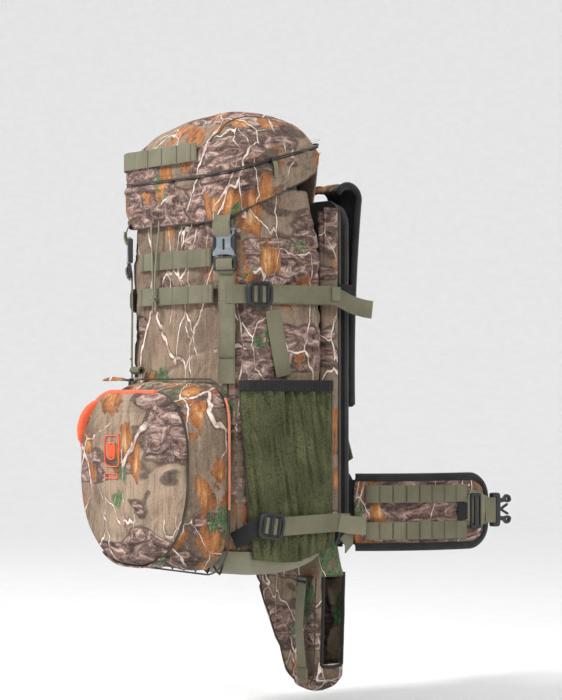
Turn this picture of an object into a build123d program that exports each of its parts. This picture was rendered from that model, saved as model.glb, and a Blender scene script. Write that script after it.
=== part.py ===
"""Hunting backpack with a fold-down rifle boot: bag, lid, pockets, harness, hip belt and boot.

+Z is up, the wearer stands on the +Y side and +X is the wearer's right. The origin is on the
plane of the wearer's back, on the centre line, at the height of the bag's lowest point.
"""

import os
from math import cos, pi, radians, sin

from build123d import *

# Main bag
BAG_WIDTH = 290.0
BAG_DEPTH = 165.0
BAG_BACK = -66.0
BAG_CENTRE = BAG_BACK - BAG_DEPTH / 2
BAG_FRONT = BAG_BACK - BAG_DEPTH
BAG_RADIUS = 45.0
BAG_BOTTOM = 30.0
BAG_SHOULDER = 430.0
BAG_TOP = 520.0
BAG_WALL = 4.0
GAP = 0.4
CORNER_X = BAG_WIDTH / 2 - BAG_RADIUS
CORNER_Y = BAG_FRONT + BAG_RADIUS

# Lid
LID_WIDTH = 296.0
LID_DEPTH = 172.0
LID_BACK = -70.0
LID_CENTRE = LID_BACK - LID_DEPTH / 2
LID_FRONT = LID_BACK - LID_DEPTH
LID_RADIUS = 48.0
LID_TOP = 637.0
LID_DOME = 50.0
LID_WALL = 4.0
HEM_FRONT = 475.0
HEM_SLOPE = 24.0
ZIP_FRONT = 537.0
ZIP_SLOPE = 16.0
ZIP_GAP = 6.0
LID_FLOOR = 549.0

# Webbing, in its trade widths
WEBBING = 25.0
BELT_WEBBING = 38.0
WEB_THICK = 2.0
STRAP_AZIMUTH = 28.0

# Pockets
POCKET_WIDTH = 276.0
POCKET_HEIGHT = 258.0
POCKET_BASE = 4.0
POCKET_DEPTH = 60.0
POCKET_CORNER = 58.0
DOOR_DEPTH = 20.0
FABRIC = 4.0
MESH_BULGE = 14.0
MESH_WALL = 2.5
MESH_BASE = 24.0
MESH_TOP = 262.0
MESH_AZIMUTH = 48.0
MESH_BACK = -72.0

# Back, frame and harness
PAD_WIDTH = 240.0
PAD_BACK = -14.0
PAD_THICK = 20.0
PAD_TOP = 512.0
SHEET_THICK = 3.0
STAY_THICK = 2.5
CHANNEL_X = 118.0
STRAP_X = 62.0
STRAP_Z = 528.0
STRAP_Y = -24.0
STRAP_SPLAY = 1.0
STRAP_WIDTH = 68.0
STRAP_THICK = 13.0

# Hip belt
WING_CENTRE = (-100.0, 156.0)
WING_ARC = 260.0
WING_START = -38.6
WING_SWEEP = 45.2
WING_THICK = 12.0
BELT_LOW = 30.0
BELT_HIGH = 128.0
BELT_MIDDLE = (BELT_LOW + BELT_HIGH) / 2

# Rifle boot
BOOT_FRONT = -60.0
BOOT_BACK = -4.0
BOOT_DEPTH = BOOT_BACK - BOOT_FRONT
BOOT_WALL = 2.5
BOOT_STRAP_X = 64.0

# Collar cord
CORD = 3.0


def save(part, name):
    """Label one finished piece and write its STEP file."""
    part.label = name
    export_step(part, f"parts/{name}.step")


def save_pair(part, name):
    """Write the wearer's right-hand piece and its mirror image on the left."""
    save(part, f"{name}_right")
    save(mirror(part, about=Plane.YZ), f"{name}_left")


def bag_section(height, inset, width, depth, back):
    """A rounded rectangle of the bag at one height, drawn in from the cloth by inset."""
    with BuildSketch(Plane.XY.offset(height)) as section:
        with Locations((0, back - depth / 2)):
            RectangleRounded(width - 2 * inset, depth - 2 * inset, BAG_RADIUS - inset)
    return section.sketch


def bag_outline(spread):
    """The bag's plan outline, moved outwards by spread, for the sketch it is called in."""
    with Locations((0, BAG_CENTRE)):
        outline = RectangleRounded(
            BAG_WIDTH + 2 * spread, BAG_DEPTH + 2 * spread, BAG_RADIUS + spread, mode=Mode.PRIVATE
        )
    return outline


def front_corner(standoff):
    """The upright plane across the right front corner, where the lid's strap hangs."""
    turn = radians(STRAP_AZIMUTH)
    reach = BAG_RADIUS + standoff
    place = (CORNER_X + reach * sin(turn), CORNER_Y - reach * cos(turn), 0)
    return Plane(origin=place, x_dir=(cos(turn), sin(turn), 0), z_dir=(sin(turn), -cos(turn), 0))


os.makedirs("parts", exist_ok=True)

# --- Main bag, base and collar -------------------------------------------------------------
TOP_WIDTH = 272.0
TOP_DEPTH = 152.0
TOP_BACK = BAG_FRONT + TOP_DEPTH

with BuildPart() as main_bag:
    for inset, low, high, mode in (
        (0, BAG_BOTTOM, BAG_TOP, Mode.ADD),
        (BAG_WALL, BAG_BOTTOM + BAG_WALL, BAG_TOP, Mode.SUBTRACT),
    ):
        lower = bag_section(low, inset, BAG_WIDTH, BAG_DEPTH, BAG_BACK)
        shoulder = bag_section(BAG_SHOULDER, inset, BAG_WIDTH, BAG_DEPTH, BAG_BACK)
        upper = bag_section(high, inset, TOP_WIDTH, TOP_DEPTH, TOP_BACK)
        loft([lower, shoulder, upper], ruled=True, mode=mode)
save(main_bag.part, "main_bag")

with BuildPart() as bag_base:
    waist = bag_section(BAG_BOTTOM - GAP, 1, BAG_WIDTH, BAG_DEPTH, BAG_BACK)
    belly = bag_section(12, 6, BAG_WIDTH, BAG_DEPTH, BAG_BACK)
    sole = bag_section(0, 18, BAG_WIDTH, BAG_DEPTH, BAG_BACK)
    loft([waist, belly, sole], ruled=True)
save(bag_base.part, "bag_base")

COLLAR_WALL = 2.0
COLLAR_INSET = 10.0
COLLAR_LOW = 495.0
COLLAR_TOP = 543.0

with BuildPart() as collar:
    with BuildSketch(Plane.XY.offset(COLLAR_LOW)):
        for inset, mode in ((COLLAR_INSET, Mode.ADD), (COLLAR_INSET + COLLAR_WALL, Mode.SUBTRACT)):
            with Locations((0, TOP_BACK - TOP_DEPTH / 2)):
                RectangleRounded(
                    TOP_WIDTH - 2 * inset, TOP_DEPTH - 2 * inset, BAG_RADIUS - inset, mode=mode
                )
    extrude(amount=COLLAR_TOP - COLLAR_LOW)
save(collar.part, "collar")

# --- Lid -----------------------------------------------------------------------------------
LID_LOW = 440.0
hem_plane = Plane(origin=(0, LID_FRONT, HEM_FRONT)).rotated((HEM_SLOPE, 0, 0))
zip_low = Plane(origin=(0, LID_FRONT, ZIP_FRONT - ZIP_GAP / 2)).rotated((ZIP_SLOPE, 0, 0))
zip_high = Plane(origin=(0, LID_FRONT, ZIP_FRONT + ZIP_GAP / 2)).rotated((ZIP_SLOPE, 0, 0))

with BuildPart() as lid_form:
    for inset, mode in ((0, Mode.ADD), (LID_WALL, Mode.SUBTRACT)):
        with BuildPart(mode=Mode.PRIVATE) as dome:
            with BuildSketch(Plane.XY.offset(LID_LOW)):
                with Locations((0, LID_CENTRE)):
                    RectangleRounded(
                        LID_WIDTH - 2 * inset, LID_DEPTH - 2 * inset, LID_RADIUS - inset
                    )
            extrude(amount=LID_TOP - inset - LID_LOW)
            fillet(dome.faces().sort_by(Axis.Z)[-1].edges(), LID_DOME - inset)
        add(dome.part, mode=mode)

with BuildPart() as lid_skirt:
    add(lid_form.part)
    split(bisect_by=hem_plane, keep=Keep.TOP)
    split(bisect_by=zip_low, keep=Keep.BOTTOM)
save(lid_skirt.part, "lid_skirt")

with BuildPart() as lid_top:
    add(lid_form.part)
    split(bisect_by=zip_high, keep=Keep.TOP)
save(lid_top.part, "lid_top")

with BuildPart() as lid_zip:
    add(lid_form.part)
    split(bisect_by=zip_low.offset(GAP / 4), keep=Keep.TOP)
    split(bisect_by=zip_high.offset(-GAP / 4), keep=Keep.BOTTOM)
save(lid_zip.part, "lid_zip")

with BuildPart() as lid_floor:
    with BuildSketch(Plane.XY.offset(LID_FLOOR)):
        with Locations((0, LID_CENTRE)):
            margin = LID_WALL + GAP
            RectangleRounded(
                LID_WIDTH - 2 * margin, LID_DEPTH - 2 * margin, LID_RADIUS - margin
            )
    extrude(amount=WEB_THICK)
save(lid_floor.part, "lid_floor")

SLIDER = 9.0
SLIDER_Y = -170.0
SLIDER_Z = ZIP_FRONT + (SLIDER_Y - LID_FRONT) * sin(radians(ZIP_SLOPE))
SLIDER_TAB = 22.0

with BuildPart() as lid_zip_slider:
    with Locations((LID_WIDTH / 2 + GAP + SLIDER / 4, SLIDER_Y, SLIDER_Z)):
        Box(SLIDER / 2, SLIDER, SLIDER)
    with Locations((LID_WIDTH / 2 + GAP + SLIDER / 4, SLIDER_Y, SLIDER_Z - SLIDER_TAB / 2 - 2)):
        Box(WEB_THICK, SLIDER / 2, SLIDER_TAB)
save(lid_zip_slider.part, "lid_zip_slider")

LID_MOLLE_Z = 558.0
LID_MOLLE_END = 72.0

with BuildPart() as lid_molle:
    with BuildSketch(Plane.XY.offset(LID_MOLLE_Z)):
        for spread, mode in ((GAP + WEB_THICK, Mode.ADD), (GAP, Mode.SUBTRACT)):
            with Locations((0, LID_CENTRE)):
                RectangleRounded(
                    LID_WIDTH + 2 * spread, LID_DEPTH + 2 * spread, LID_RADIUS + spread, mode=mode
                )
        with Locations((LID_MOLLE_END, LID_FRONT + LID_RADIUS / 2)):
            Rectangle(4 * LID_WIDTH, LID_RADIUS * 3, align=(Align.MAX, Align.MAX), mode=Mode.INTERSECT)
    extrude(amount=WEBBING)
save(lid_molle.part, "lid_molle")

# --- Lid straps and their side-release buckles ------------------------------------------------
BUCKLE_WIDTH = 34.0
BUCKLE_HEIGHT = 38.0
BUCKLE_LOW = 427.0
BUCKLE_FACE = 11.0
BUCKLE_THICK = 8.0
BUCKLE_RAIL = 3.0
PRONG = 5.0
PLUG_HEIGHT = 19.0

with BuildPart() as lid_strap:
    with BuildSketch(front_corner(BUCKLE_FACE + GAP)):
        with Locations((0, (BUCKLE_LOW + BUCKLE_HEIGHT + HEM_FRONT) / 2)):
            Rectangle(WEBBING, HEM_FRONT - BUCKLE_LOW)
    extrude(amount=WEB_THICK)
save_pair(lid_strap.part, "lid_strap")

with BuildPart() as buckle_socket:
    with BuildSketch(front_corner(BUCKLE_FACE - BUCKLE_THICK)):
        with Locations((0, BUCKLE_LOW + BUCKLE_HEIGHT / 2)):
            RectangleRounded(BUCKLE_WIDTH, BUCKLE_HEIGHT, BUCKLE_RAIL)
    extrude(amount=BUCKLE_THICK)
    with BuildSketch(front_corner(BUCKLE_FACE - BUCKLE_THICK - 1)):
        with Locations((0, BUCKLE_LOW + BUCKLE_HEIGHT / 2 - 2 * BUCKLE_RAIL)):
            Rectangle(BUCKLE_WIDTH - 2 * BUCKLE_RAIL, BUCKLE_HEIGHT)
    extrude(amount=BUCKLE_THICK - BUCKLE_RAIL + 1, mode=Mode.SUBTRACT)
    with BuildSketch(front_corner(0)):
        with Locations((0, BUCKLE_LOW + BUCKLE_HEIGHT / 2 - BUCKLE_RAIL)):
            RectangleRounded(PRONG * 2, BUCKLE_HEIGHT / 2, BUCKLE_RAIL)
    extrude(amount=BUCKLE_FACE + 1, mode=Mode.SUBTRACT)
save_pair(buckle_socket.part, "lid_buckle_socket")

with BuildPart() as buckle_plug:
    prong_thick = BUCKLE_THICK - BUCKLE_RAIL - 1
    with BuildSketch(front_corner(BUCKLE_FACE - BUCKLE_THICK)):
        with Locations((0, BUCKLE_LOW - PLUG_HEIGHT / 2 - 1)):
            RectangleRounded(BUCKLE_WIDTH, PLUG_HEIGHT, BUCKLE_RAIL)
            Rectangle(WEBBING + 1, BUCKLE_RAIL, mode=Mode.SUBTRACT)
    extrude(amount=prong_thick + 1)
    with BuildSketch(front_corner(BUCKLE_FACE - BUCKLE_THICK)):
        for across in (-1, 1):
            with Locations((across * (BUCKLE_WIDTH / 2 - BUCKLE_RAIL - PRONG / 2 - 1), BUCKLE_LOW + 11)):
                Rectangle(PRONG, 26)
        with Locations((0, BUCKLE_LOW + 7)):
            Rectangle(PRONG / 2, 18)
    extrude(amount=prong_thick)
save_pair(buckle_plug.part, "lid_buckle_plug")

CORNER_STRAP_LOW = 256.0

with BuildPart() as corner_straps:
    with BuildSketch(front_corner(GAP)):
        with Locations((0, (CORNER_STRAP_LOW + BUCKLE_LOW - PRONG) / 2)):
            Rectangle(WEBBING, BUCKLE_LOW - PRONG - CORNER_STRAP_LOW)
    extrude(amount=WEB_THICK)
    mirror(about=Plane.YZ)
save(corner_straps.part, "corner_straps")

# --- Webbing rows on the bag's front ------------------------------------------------------------
with BuildPart() as front_molle:
    for row_z, half in ((415.0, 92.0), (366.0, 96.0)):
        with Locations((0, BAG_FRONT - GAP - WEB_THICK / 2, row_z + WEBBING / 2)):
            Box(2 * half, WEB_THICK, WEBBING)
save(front_molle.part, "front_molle_rows")

# --- Side compression straps with their ladder locks -----------------------------------------------
LOCK_WIDTH = 35.0
LOCK_LENGTH = 40.0
LOCK_THICK = 7.0
LOCK_BAR = 5.0
LOCK_SLOT = 5.0
SIDE_X = BAG_WIDTH / 2 + GAP


def ladder_lock(outside, front, height):
    """One ladder lock lying on the right side, its two slots upright, from front towards the back."""
    with BuildPart() as lock:
        with BuildSketch(Plane.YZ.offset(outside)):
            with Locations((front + LOCK_LENGTH / 2, height)):
                RectangleRounded(LOCK_LENGTH, LOCK_WIDTH, LOCK_WIDTH / 3)
                for place in (-1, 0, 1):
                    with Locations((place * (LOCK_BAR + LOCK_SLOT), 0)):
                        Rectangle(LOCK_SLOT, WEBBING + 1, mode=Mode.SUBTRACT)
        extrude(amount=LOCK_THICK)
        fillet(lock.faces().sort_by(Axis.X)[-1].outer_wire().edges(), 1.5)
    return lock.part


UPPER_Z = 377.0
UPPER_FRONT = -213.0
LOWER_Z = 69.0
LOWER_FRONT = -206.0
LOWER_X = BAG_WIDTH / 2 + MESH_BULGE + 3.5
save_pair(ladder_lock(SIDE_X, UPPER_FRONT, UPPER_Z), "upper_lock")
save_pair(ladder_lock(LOWER_X, LOWER_FRONT, LOWER_Z), "lower_lock")

with BuildPart() as upper_straps:
    with BuildSketch(Plane.YZ.offset(SIDE_X)):
        with BuildLine():
            Polyline(
                (UPPER_FRONT + LOCK_LENGTH + 1, UPPER_Z - WEBBING / 2),
                (UPPER_FRONT + LOCK_LENGTH + 1, UPPER_Z + WEBBING / 2),
                (BAG_BACK, UPPER_Z + WEBBING / 2),
                (-4, UPPER_Z - 5),
                (-4, UPPER_Z - 5 - WEBBING),
                (BAG_BACK, UPPER_Z - WEBBING / 2),
                close=True,
            )
        make_face()
    extrude(amount=WEB_THICK)
    mirror(about=Plane.YZ)
save(upper_straps.part, "upper_side_straps")

with BuildPart() as lower_straps:
    with BuildSketch(Plane.YZ.offset(LOWER_X)):
        with Locations((LOWER_FRONT + LOCK_LENGTH + 1, LOWER_Z)):
            Rectangle(138, WEBBING, align=(Align.MIN, Align.CENTER))
    extrude(amount=WEB_THICK)
    mirror(about=Plane.YZ)
save(lower_straps.part, "lower_side_straps")

with BuildPart() as diagonals:
    with BuildSketch(Plane.YZ.offset(SIDE_X)):
        with BuildLine():
            Polyline(
                (CORNER_Y + 4, UPPER_Z - LOCK_WIDTH / 2 - 4),
                (CORNER_Y + 4 + WEBBING, UPPER_Z - LOCK_WIDTH / 2 - 4),
                (CORNER_Y + 22 + WEBBING, MESH_TOP + 6),
                (CORNER_Y + 22, MESH_TOP + 6),
                close=True,
            )
        make_face()
    extrude(amount=WEB_THICK)
    mirror(about=Plane.YZ)
save(diagonals.part, "diagonal_webbings")

# --- Mesh side pockets ---------------------------------------------------------------------------
def side_region(inset):
    """The part of the plan that a side pocket covers, from the front corner to the back."""
    turn = radians(MESH_AZIMUTH)
    reach = 90.0
    far = BAG_WIDTH
    shift = inset / cos(turn)
    with BuildLine() as border:
        Polyline(
            (CORNER_X + shift, CORNER_Y),
            (CORNER_X + shift + reach * sin(turn), CORNER_Y - reach * cos(turn)),
            (far, CORNER_Y - reach * cos(turn)),
            (far, MESH_BACK - inset),
            (CORNER_X + shift, MESH_BACK - inset),
            close=True,
        )
    return make_face(border.edges(), mode=Mode.PRIVATE)


def side_band(low, high, inside, outside, inset):
    """An upright wall round the right side between two distances from the bag's cloth."""
    with BuildPart() as band:
        with BuildSketch(Plane.XY.offset(low)):
            add(bag_outline(outside))
            add(bag_outline(inside), mode=Mode.SUBTRACT)
            add(side_region(inset), mode=Mode.INTERSECT)
        extrude(amount=high - low)
    return band.part


with BuildPart() as mesh_pocket:
    add(side_band(MESH_BASE, MESH_TOP, GAP, MESH_BULGE, 0))
    add(
        side_band(MESH_BASE + MESH_WALL, MESH_TOP, 0, MESH_BULGE - MESH_WALL, MESH_WALL),
        mode=Mode.SUBTRACT,
    )
save_pair(mesh_pocket.part, "mesh_pocket")

BAND_HEIGHT = 14.0
with BuildPart() as pocket_bands:
    add(side_band(MESH_TOP - BAND_HEIGHT, MESH_TOP, MESH_BULGE + GAP, MESH_BULGE + WEB_THICK + GAP, 0))
    mirror(about=Plane.YZ)
save(pocket_bands.part, "pocket_bands")

# --- Front pocket --------------------------------------------------------------------------------
POCKET_BACK = BAG_FRONT - WEB_THICK - 2 * GAP
POCKET_MIDDLE = POCKET_BASE + POCKET_HEIGHT / 2
POCKET_MOUTH = POCKET_BACK - POCKET_DEPTH

with BuildPart() as front_pocket:
    with BuildSketch(Plane.XZ.offset(-POCKET_BACK)):
        with Locations((0, POCKET_MIDDLE)):
            RectangleRounded(POCKET_WIDTH, POCKET_HEIGHT, POCKET_CORNER)
    extrude(amount=POCKET_DEPTH)
    with BuildSketch(Plane.XZ.offset(FABRIC - POCKET_BACK)):
        with Locations((0, POCKET_MIDDLE)):
            RectangleRounded(
                POCKET_WIDTH - 2 * FABRIC, POCKET_HEIGHT - 2 * FABRIC, POCKET_CORNER - FABRIC
            )
    extrude(amount=POCKET_DEPTH, mode=Mode.SUBTRACT)
save(front_pocket.part, "front_pocket")

DOOR_INSET = 2.0
DOOR_EDGE = 18.0

with BuildPart() as pocket_door:
    for inset, mode in ((0, Mode.ADD), (FABRIC, Mode.SUBTRACT)):
        with BuildPart(mode=Mode.PRIVATE) as dish:
            margin = DOOR_INSET + inset
            with BuildSketch(Plane.XZ.offset(-POCKET_MOUTH + GAP)):
                with Locations((0, POCKET_MIDDLE)):
                    RectangleRounded(
                        POCKET_WIDTH - 2 * margin, POCKET_HEIGHT - 2 * margin, POCKET_CORNER - margin
                    )
            extrude(amount=DOOR_DEPTH - inset)
            fillet(dish.faces().sort_by(Axis.Y)[0].edges(), DOOR_EDGE - inset)
        add(dish.part, mode=mode)
save(pocket_door.part, "pocket_door")

PIPING = 3.0
with BuildPart() as pocket_piping:
    with BuildSketch(Plane.XZ.offset(-POCKET_BACK)):
        with Locations((0, POCKET_MIDDLE)):
            ring = POCKET_CORNER + PIPING + GAP
            RectangleRounded(
                POCKET_WIDTH + 2 * (PIPING + GAP), POCKET_HEIGHT + 2 * (PIPING + GAP), ring
            )
            RectangleRounded(
                POCKET_WIDTH + 2 * GAP, POCKET_HEIGHT + 2 * GAP, POCKET_CORNER + GAP, mode=Mode.SUBTRACT
            )
    extrude(amount=PIPING)
save(pocket_piping.part, "pocket_piping")

with BuildPart() as pocket_slider:
    slider_y = POCKET_MOUTH - DOOR_DEPTH / 2
    slider_z = POCKET_BASE + POCKET_HEIGHT - DOOR_INSET + GAP + SLIDER / 4
    with Locations((0, slider_y, slider_z)):
        Box(SLIDER, SLIDER, SLIDER / 2)
    with Locations((SLIDER_TAB / 2 + SLIDER / 4, slider_y, slider_z + SLIDER / 8)):
        Box(SLIDER_TAB, SLIDER / 2, WEB_THICK)
save(pocket_slider.part, "pocket_zip_slider")

GARAGE_LENGTH = 42.0
with BuildPart() as garage:
    with BuildSketch(Plane.XY.offset(POCKET_BASE + POCKET_HEIGHT + GAP)):
        with Locations((-POCKET_WIDTH / 2 + POCKET_CORNER + GARAGE_LENGTH / 2 - 8, POCKET_MOUTH + 6)):
            RectangleRounded(GARAGE_LENGTH, 24, 8)
    extrude(amount=WEB_THICK)
save(garage.part, "zip_garage")

with BuildPart() as pull_loop:
    with BuildSketch(Plane.YZ.offset(-BAG_WIDTH / 2 + BAG_RADIUS)):
        with Locations((BAG_FRONT - WEB_THICK - GAP - 6, POCKET_BASE + POCKET_HEIGHT + 14)):
            Circle(6)
    extrude(amount=WEBBING)
save(pull_loop.part, "pull_loop")

# --- Frame, back pads and rifle channel --------------------------------------------------------------
STAY_BACK = PAD_BACK - PAD_THICK - GAP
SHEET_BACK = STAY_BACK - STAY_THICK - GAP
SHEET_FRONT = SHEET_BACK - SHEET_THICK
PAD_LOW = 30.0
PAD_HEIGHT = PAD_TOP - PAD_LOW

with BuildPart() as back_panel:
    with BuildSketch(Plane.XZ.offset(-PAD_BACK)):
        with Locations((0, PAD_LOW + PAD_HEIGHT / 2)):
            RectangleRounded(PAD_WIDTH, PAD_HEIGHT, 40)
    extrude(amount=PAD_THICK)
    fillet(back_panel.faces().sort_by(Axis.Y)[-1].edges(), 8)
save(back_panel.part, "back_panel")

with BuildPart() as stays:
    for across in (-60, 60):
        with Locations((across, STAY_BACK - STAY_THICK / 2, PAD_LOW + PAD_HEIGHT / 2)):
            Box(20, STAY_THICK, PAD_HEIGHT - 30)
save(stays.part, "frame_stays")

with BuildPart() as frame_sheet:
    with BuildSketch(Plane.XZ.offset(-SHEET_BACK)):
        with Locations((0, PAD_LOW + PAD_HEIGHT / 2)):
            RectangleRounded(PAD_WIDTH, PAD_HEIGHT, 30)
    extrude(amount=SHEET_THICK)
save(frame_sheet.part, "frame_sheet")

LUMBAR_HALF = 92.0
with BuildPart() as lumbar_pad:
    with BuildSketch(Plane.XZ):
        with Locations((0, BELT_MIDDLE)):
            RectangleRounded(2 * LUMBAR_HALF, BELT_HIGH - BELT_LOW, 20)
    extrude(amount=-PAD_BACK - GAP)
save(lumbar_pad.part, "lumbar_pad")

WINDOWS = (224.0, 326.0)
CHANNEL_LOW = 60.0
CHANNEL_TOP = 500.0
with BuildPart() as channel_sides:
    with BuildSketch(Plane.YZ.offset(CHANNEL_X)):
        with Locations(((BAG_BACK + SHEET_FRONT) / 2, (CHANNEL_LOW + CHANNEL_TOP) / 2)):
            Rectangle(SHEET_FRONT - BAG_BACK - 2 * GAP, CHANNEL_TOP - CHANNEL_LOW)
        for height in WINDOWS:
            with Locations(((BAG_BACK + SHEET_FRONT) / 2, height)):
                RectangleRounded(16, 34, 7, mode=Mode.SUBTRACT)
    extrude(amount=WEB_THICK)
    mirror(about=Plane.YZ)
save(channel_sides.part, "channel_sides")

# --- Shoulder harness ------------------------------------------------------------------------------
splay = radians(STRAP_SPLAY)
strap_plane = Plane(
    origin=(STRAP_X, STRAP_Y, STRAP_Z), x_dir=(0, 1, 0), z_dir=(cos(splay), 0, sin(splay))
)

with BuildPart() as shoulder_strap:
    with BuildSketch(strap_plane):
        with BuildLine() as curve:
            over = ThreePointArc((0, -5), (19, 6), (35, -18))
            ThreePointArc(over @ 1, (25, -130), (20, -300))
        trace(line_width=STRAP_THICK)
    extrude(amount=STRAP_WIDTH / 2, both=True)
save_pair(shoulder_strap.part, "shoulder_strap")

STERNUM_Z = 398.0
STERNUM_Y = 10.6
STERNUM_LENGTH = 30.0
with BuildPart() as sternum:
    with Locations((8 + STERNUM_LENGTH / 2, STERNUM_Y, STERNUM_Z)):
        Box(STERNUM_LENGTH, WEB_THICK, 20)
    with Locations((6, STERNUM_Y, STERNUM_Z)):
        Box(8, 7, 24)
save_pair(sternum.part, "sternum_strap")

with BuildPart() as shoulder_webbings:
    with BuildSketch(Plane.XZ.offset(-PAD_BACK - GAP)):
        with BuildLine():
            Polyline((52, 222), (52 + WEBBING, 222), (112 + 4, 150), (112 - 20, 150), close=True)
        make_face()
    extrude(amount=-WEB_THICK)
    mirror(about=Plane.YZ)
save(shoulder_webbings.part, "shoulder_webbings")

LOOP_THICK = 3.0
with BuildPart() as haul_loop:
    with BuildSketch(Plane.XZ.offset(-STRAP_Y - WEBBING / 2 + 2)):
        with BuildLine():
            ThreePointArc((-24, 516), (0, 541), (24, 516))
        trace(line_width=LOOP_THICK)
    extrude(amount=WEBBING - 4)
save(haul_loop.part, "haul_loop")

# --- Hip belt ----------------------------------------------------------------------------------------
WING_TIP = WING_START + WING_SWEEP


def wing_band(radius, start, sweep, thick, low, high):
    """An upright band along the belt's arc on the right."""
    with BuildPart() as band:
        with BuildSketch(Plane.XY.offset(low)):
            with BuildLine():
                CenterArc(WING_CENTRE, radius, start, sweep)
            trace(line_width=thick)
        extrude(amount=high - low)
    return band.part


def belt_plane(radius, angle):
    """The upright plane facing outwards at one angle of the belt's arc, level with its middle."""
    turn = radians(angle)
    place = (WING_CENTRE[0] + radius * cos(turn), WING_CENTRE[1] + radius * sin(turn), BELT_MIDDLE)
    return Plane(origin=place, x_dir=(-sin(turn), cos(turn), 0), z_dir=(cos(turn), sin(turn), 0))


WING_ROUND = 30.0
with BuildPart() as hip_wing:
    add(wing_band(WING_ARC, WING_START, WING_SWEEP, WING_THICK, BELT_LOW, BELT_HIGH))
    with BuildSketch(Plane.YZ):
        with Locations((-40, BELT_MIDDLE)):
            RectangleRounded(226 * 2, BELT_HIGH - BELT_LOW, WING_ROUND)
    extrude(amount=BAG_WIDTH, mode=Mode.INTERSECT)
save_pair(hip_wing.part, "hip_wing")

face_radius = WING_ARC + WING_THICK / 2 + GAP + WEB_THICK / 2
with BuildPart() as wing_molle:
    for low in (41.0, 92.0):
        add(wing_band(face_radius, WING_START + 5, WING_SWEEP - 14, WEB_THICK, low, low + WEBBING))
save_pair(wing_molle.part, "wing_molle")

web_radius = face_radius + WEB_THICK + GAP
with BuildPart() as belt_webbing:
    low = BELT_MIDDLE - BELT_WEBBING / 2
    add(wing_band(web_radius, WING_TIP - 8, 9.2, WEB_THICK, low, low + BELT_WEBBING))
save_pair(belt_webbing.part, "belt_webbing")

with BuildPart() as triglide:
    with BuildSketch(belt_plane(web_radius + WEB_THICK / 2 + GAP, WING_TIP - 6)):
        RectangleRounded(16, BELT_WEBBING + 12, 3)
        for across in (-4, 4):
            with Locations((across, 0)):
                Rectangle(3.5, BELT_WEBBING + 2, mode=Mode.SUBTRACT)
    extrude(amount=3.5)
save_pair(triglide.part, "belt_triglide")

HIP_HEIGHT = 49.0
HIP_THICK = 9.0
hip_plane = belt_plane(web_radius - HIP_THICK / 2, WING_TIP + 2.2)

with BuildPart() as hip_plug:
    with BuildSketch(hip_plane):
        with Locations((6, 0)):
            RectangleRounded(12, HIP_HEIGHT, 3)
            Rectangle(4, BELT_WEBBING + 2, mode=Mode.SUBTRACT)
        for up in (-1, 1):
            with Locations((22, up * 17)):
                Rectangle(24, 6)
            with Locations((32, up * 17)):
                SlotOverall(18, 11)
                SlotOverall(10, 4, mode=Mode.SUBTRACT)
            with Locations(Location((21, 0), up * 35)):
                Rectangle(22, 3.5)
    extrude(amount=HIP_THICK)
save(hip_plug.part, "hip_buckle_plug")

with BuildPart() as hip_socket_right:
    with BuildSketch(hip_plane):
        with Locations((20, 0)):
            RectangleRounded(40, HIP_HEIGHT, 4)
        with Locations((6, 0)):
            Rectangle(4, BELT_WEBBING + 2, mode=Mode.SUBTRACT)
    extrude(amount=HIP_THICK + 4)
    with BuildSketch(hip_plane.offset(2)):
        with Locations((30, 0)):
            Rectangle(36, HIP_HEIGHT - 8)
    extrude(amount=HIP_THICK, mode=Mode.SUBTRACT)
with BuildPart() as hip_socket:
    mirror(hip_socket_right.part, about=Plane.YZ)
save(hip_socket.part, "hip_buckle_socket")

# --- Rifle boot ------------------------------------------------------------------------------------
BOOT_TOP = -5.0
BOOT_LOW = -172.0


def boot_outline(top):
    """The boot's face: upright on the right, slanting in to a rounded toe from the left."""
    with BuildLine() as border:
        Polyline((98, top), (92, BOOT_LOW + 22))
        ThreePointArc((92, BOOT_LOW + 22), (84, BOOT_LOW + 7), (66, BOOT_LOW))
        Line((66, BOOT_LOW), (34, BOOT_LOW))
        ThreePointArc((34, BOOT_LOW), (14, BOOT_LOW + 8), (2, BOOT_LOW + 26))
        Polyline((2, BOOT_LOW + 26), (-78, top), (98, top))
    return border.edges()


with BuildPart() as rifle_boot:
    with BuildSketch(Plane.XZ.offset(-BOOT_BACK)):
        make_face(boot_outline(BOOT_TOP))
    extrude(amount=BOOT_DEPTH)
    with BuildSketch(Plane.XZ.offset(-BOOT_BACK + BOOT_WALL)):
        make_face(boot_outline(BOOT_TOP + 2 * BOOT_WALL))
        offset(amount=-BOOT_WALL)
    extrude(amount=BOOT_DEPTH - 2 * BOOT_WALL, mode=Mode.SUBTRACT)
    with BuildSketch(Plane.YZ.offset(80)):
        with Locations(((BOOT_FRONT + BOOT_BACK) / 2, BOOT_TOP)):
            Rectangle(BOOT_DEPTH - 12, 125, align=(Align.CENTER, Align.MAX))
    extrude(amount=30, mode=Mode.SUBTRACT)
save(rifle_boot.part, "rifle_boot")

STRAP_DROP = 128.0
with BuildPart() as boot_strap:
    with Locations((BOOT_STRAP_X, BOOT_FRONT - GAP - WEB_THICK / 2, BOOT_TOP - 24 - STRAP_DROP / 2)):
        Box(20, WEB_THICK, STRAP_DROP)
    with Locations((BOOT_STRAP_X, BOOT_FRONT - 2 * GAP - 1.5 * WEB_THICK, BOOT_TOP - 10 - STRAP_DROP)):
        Box(26, WEB_THICK, 14)
save(boot_strap.part, "boot_strap")

with BuildPart() as boot_clamp:
    with BuildSketch(Plane.XZ.offset(-BOOT_FRONT + GAP)):
        with Locations((BOOT_STRAP_X, BOOT_TOP - 13)):
            RectangleRounded(26, 18, 3)
            Rectangle(20, 3, mode=Mode.SUBTRACT)
    extrude(amount=5)
save(boot_clamp.part, "boot_clamp")

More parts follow.
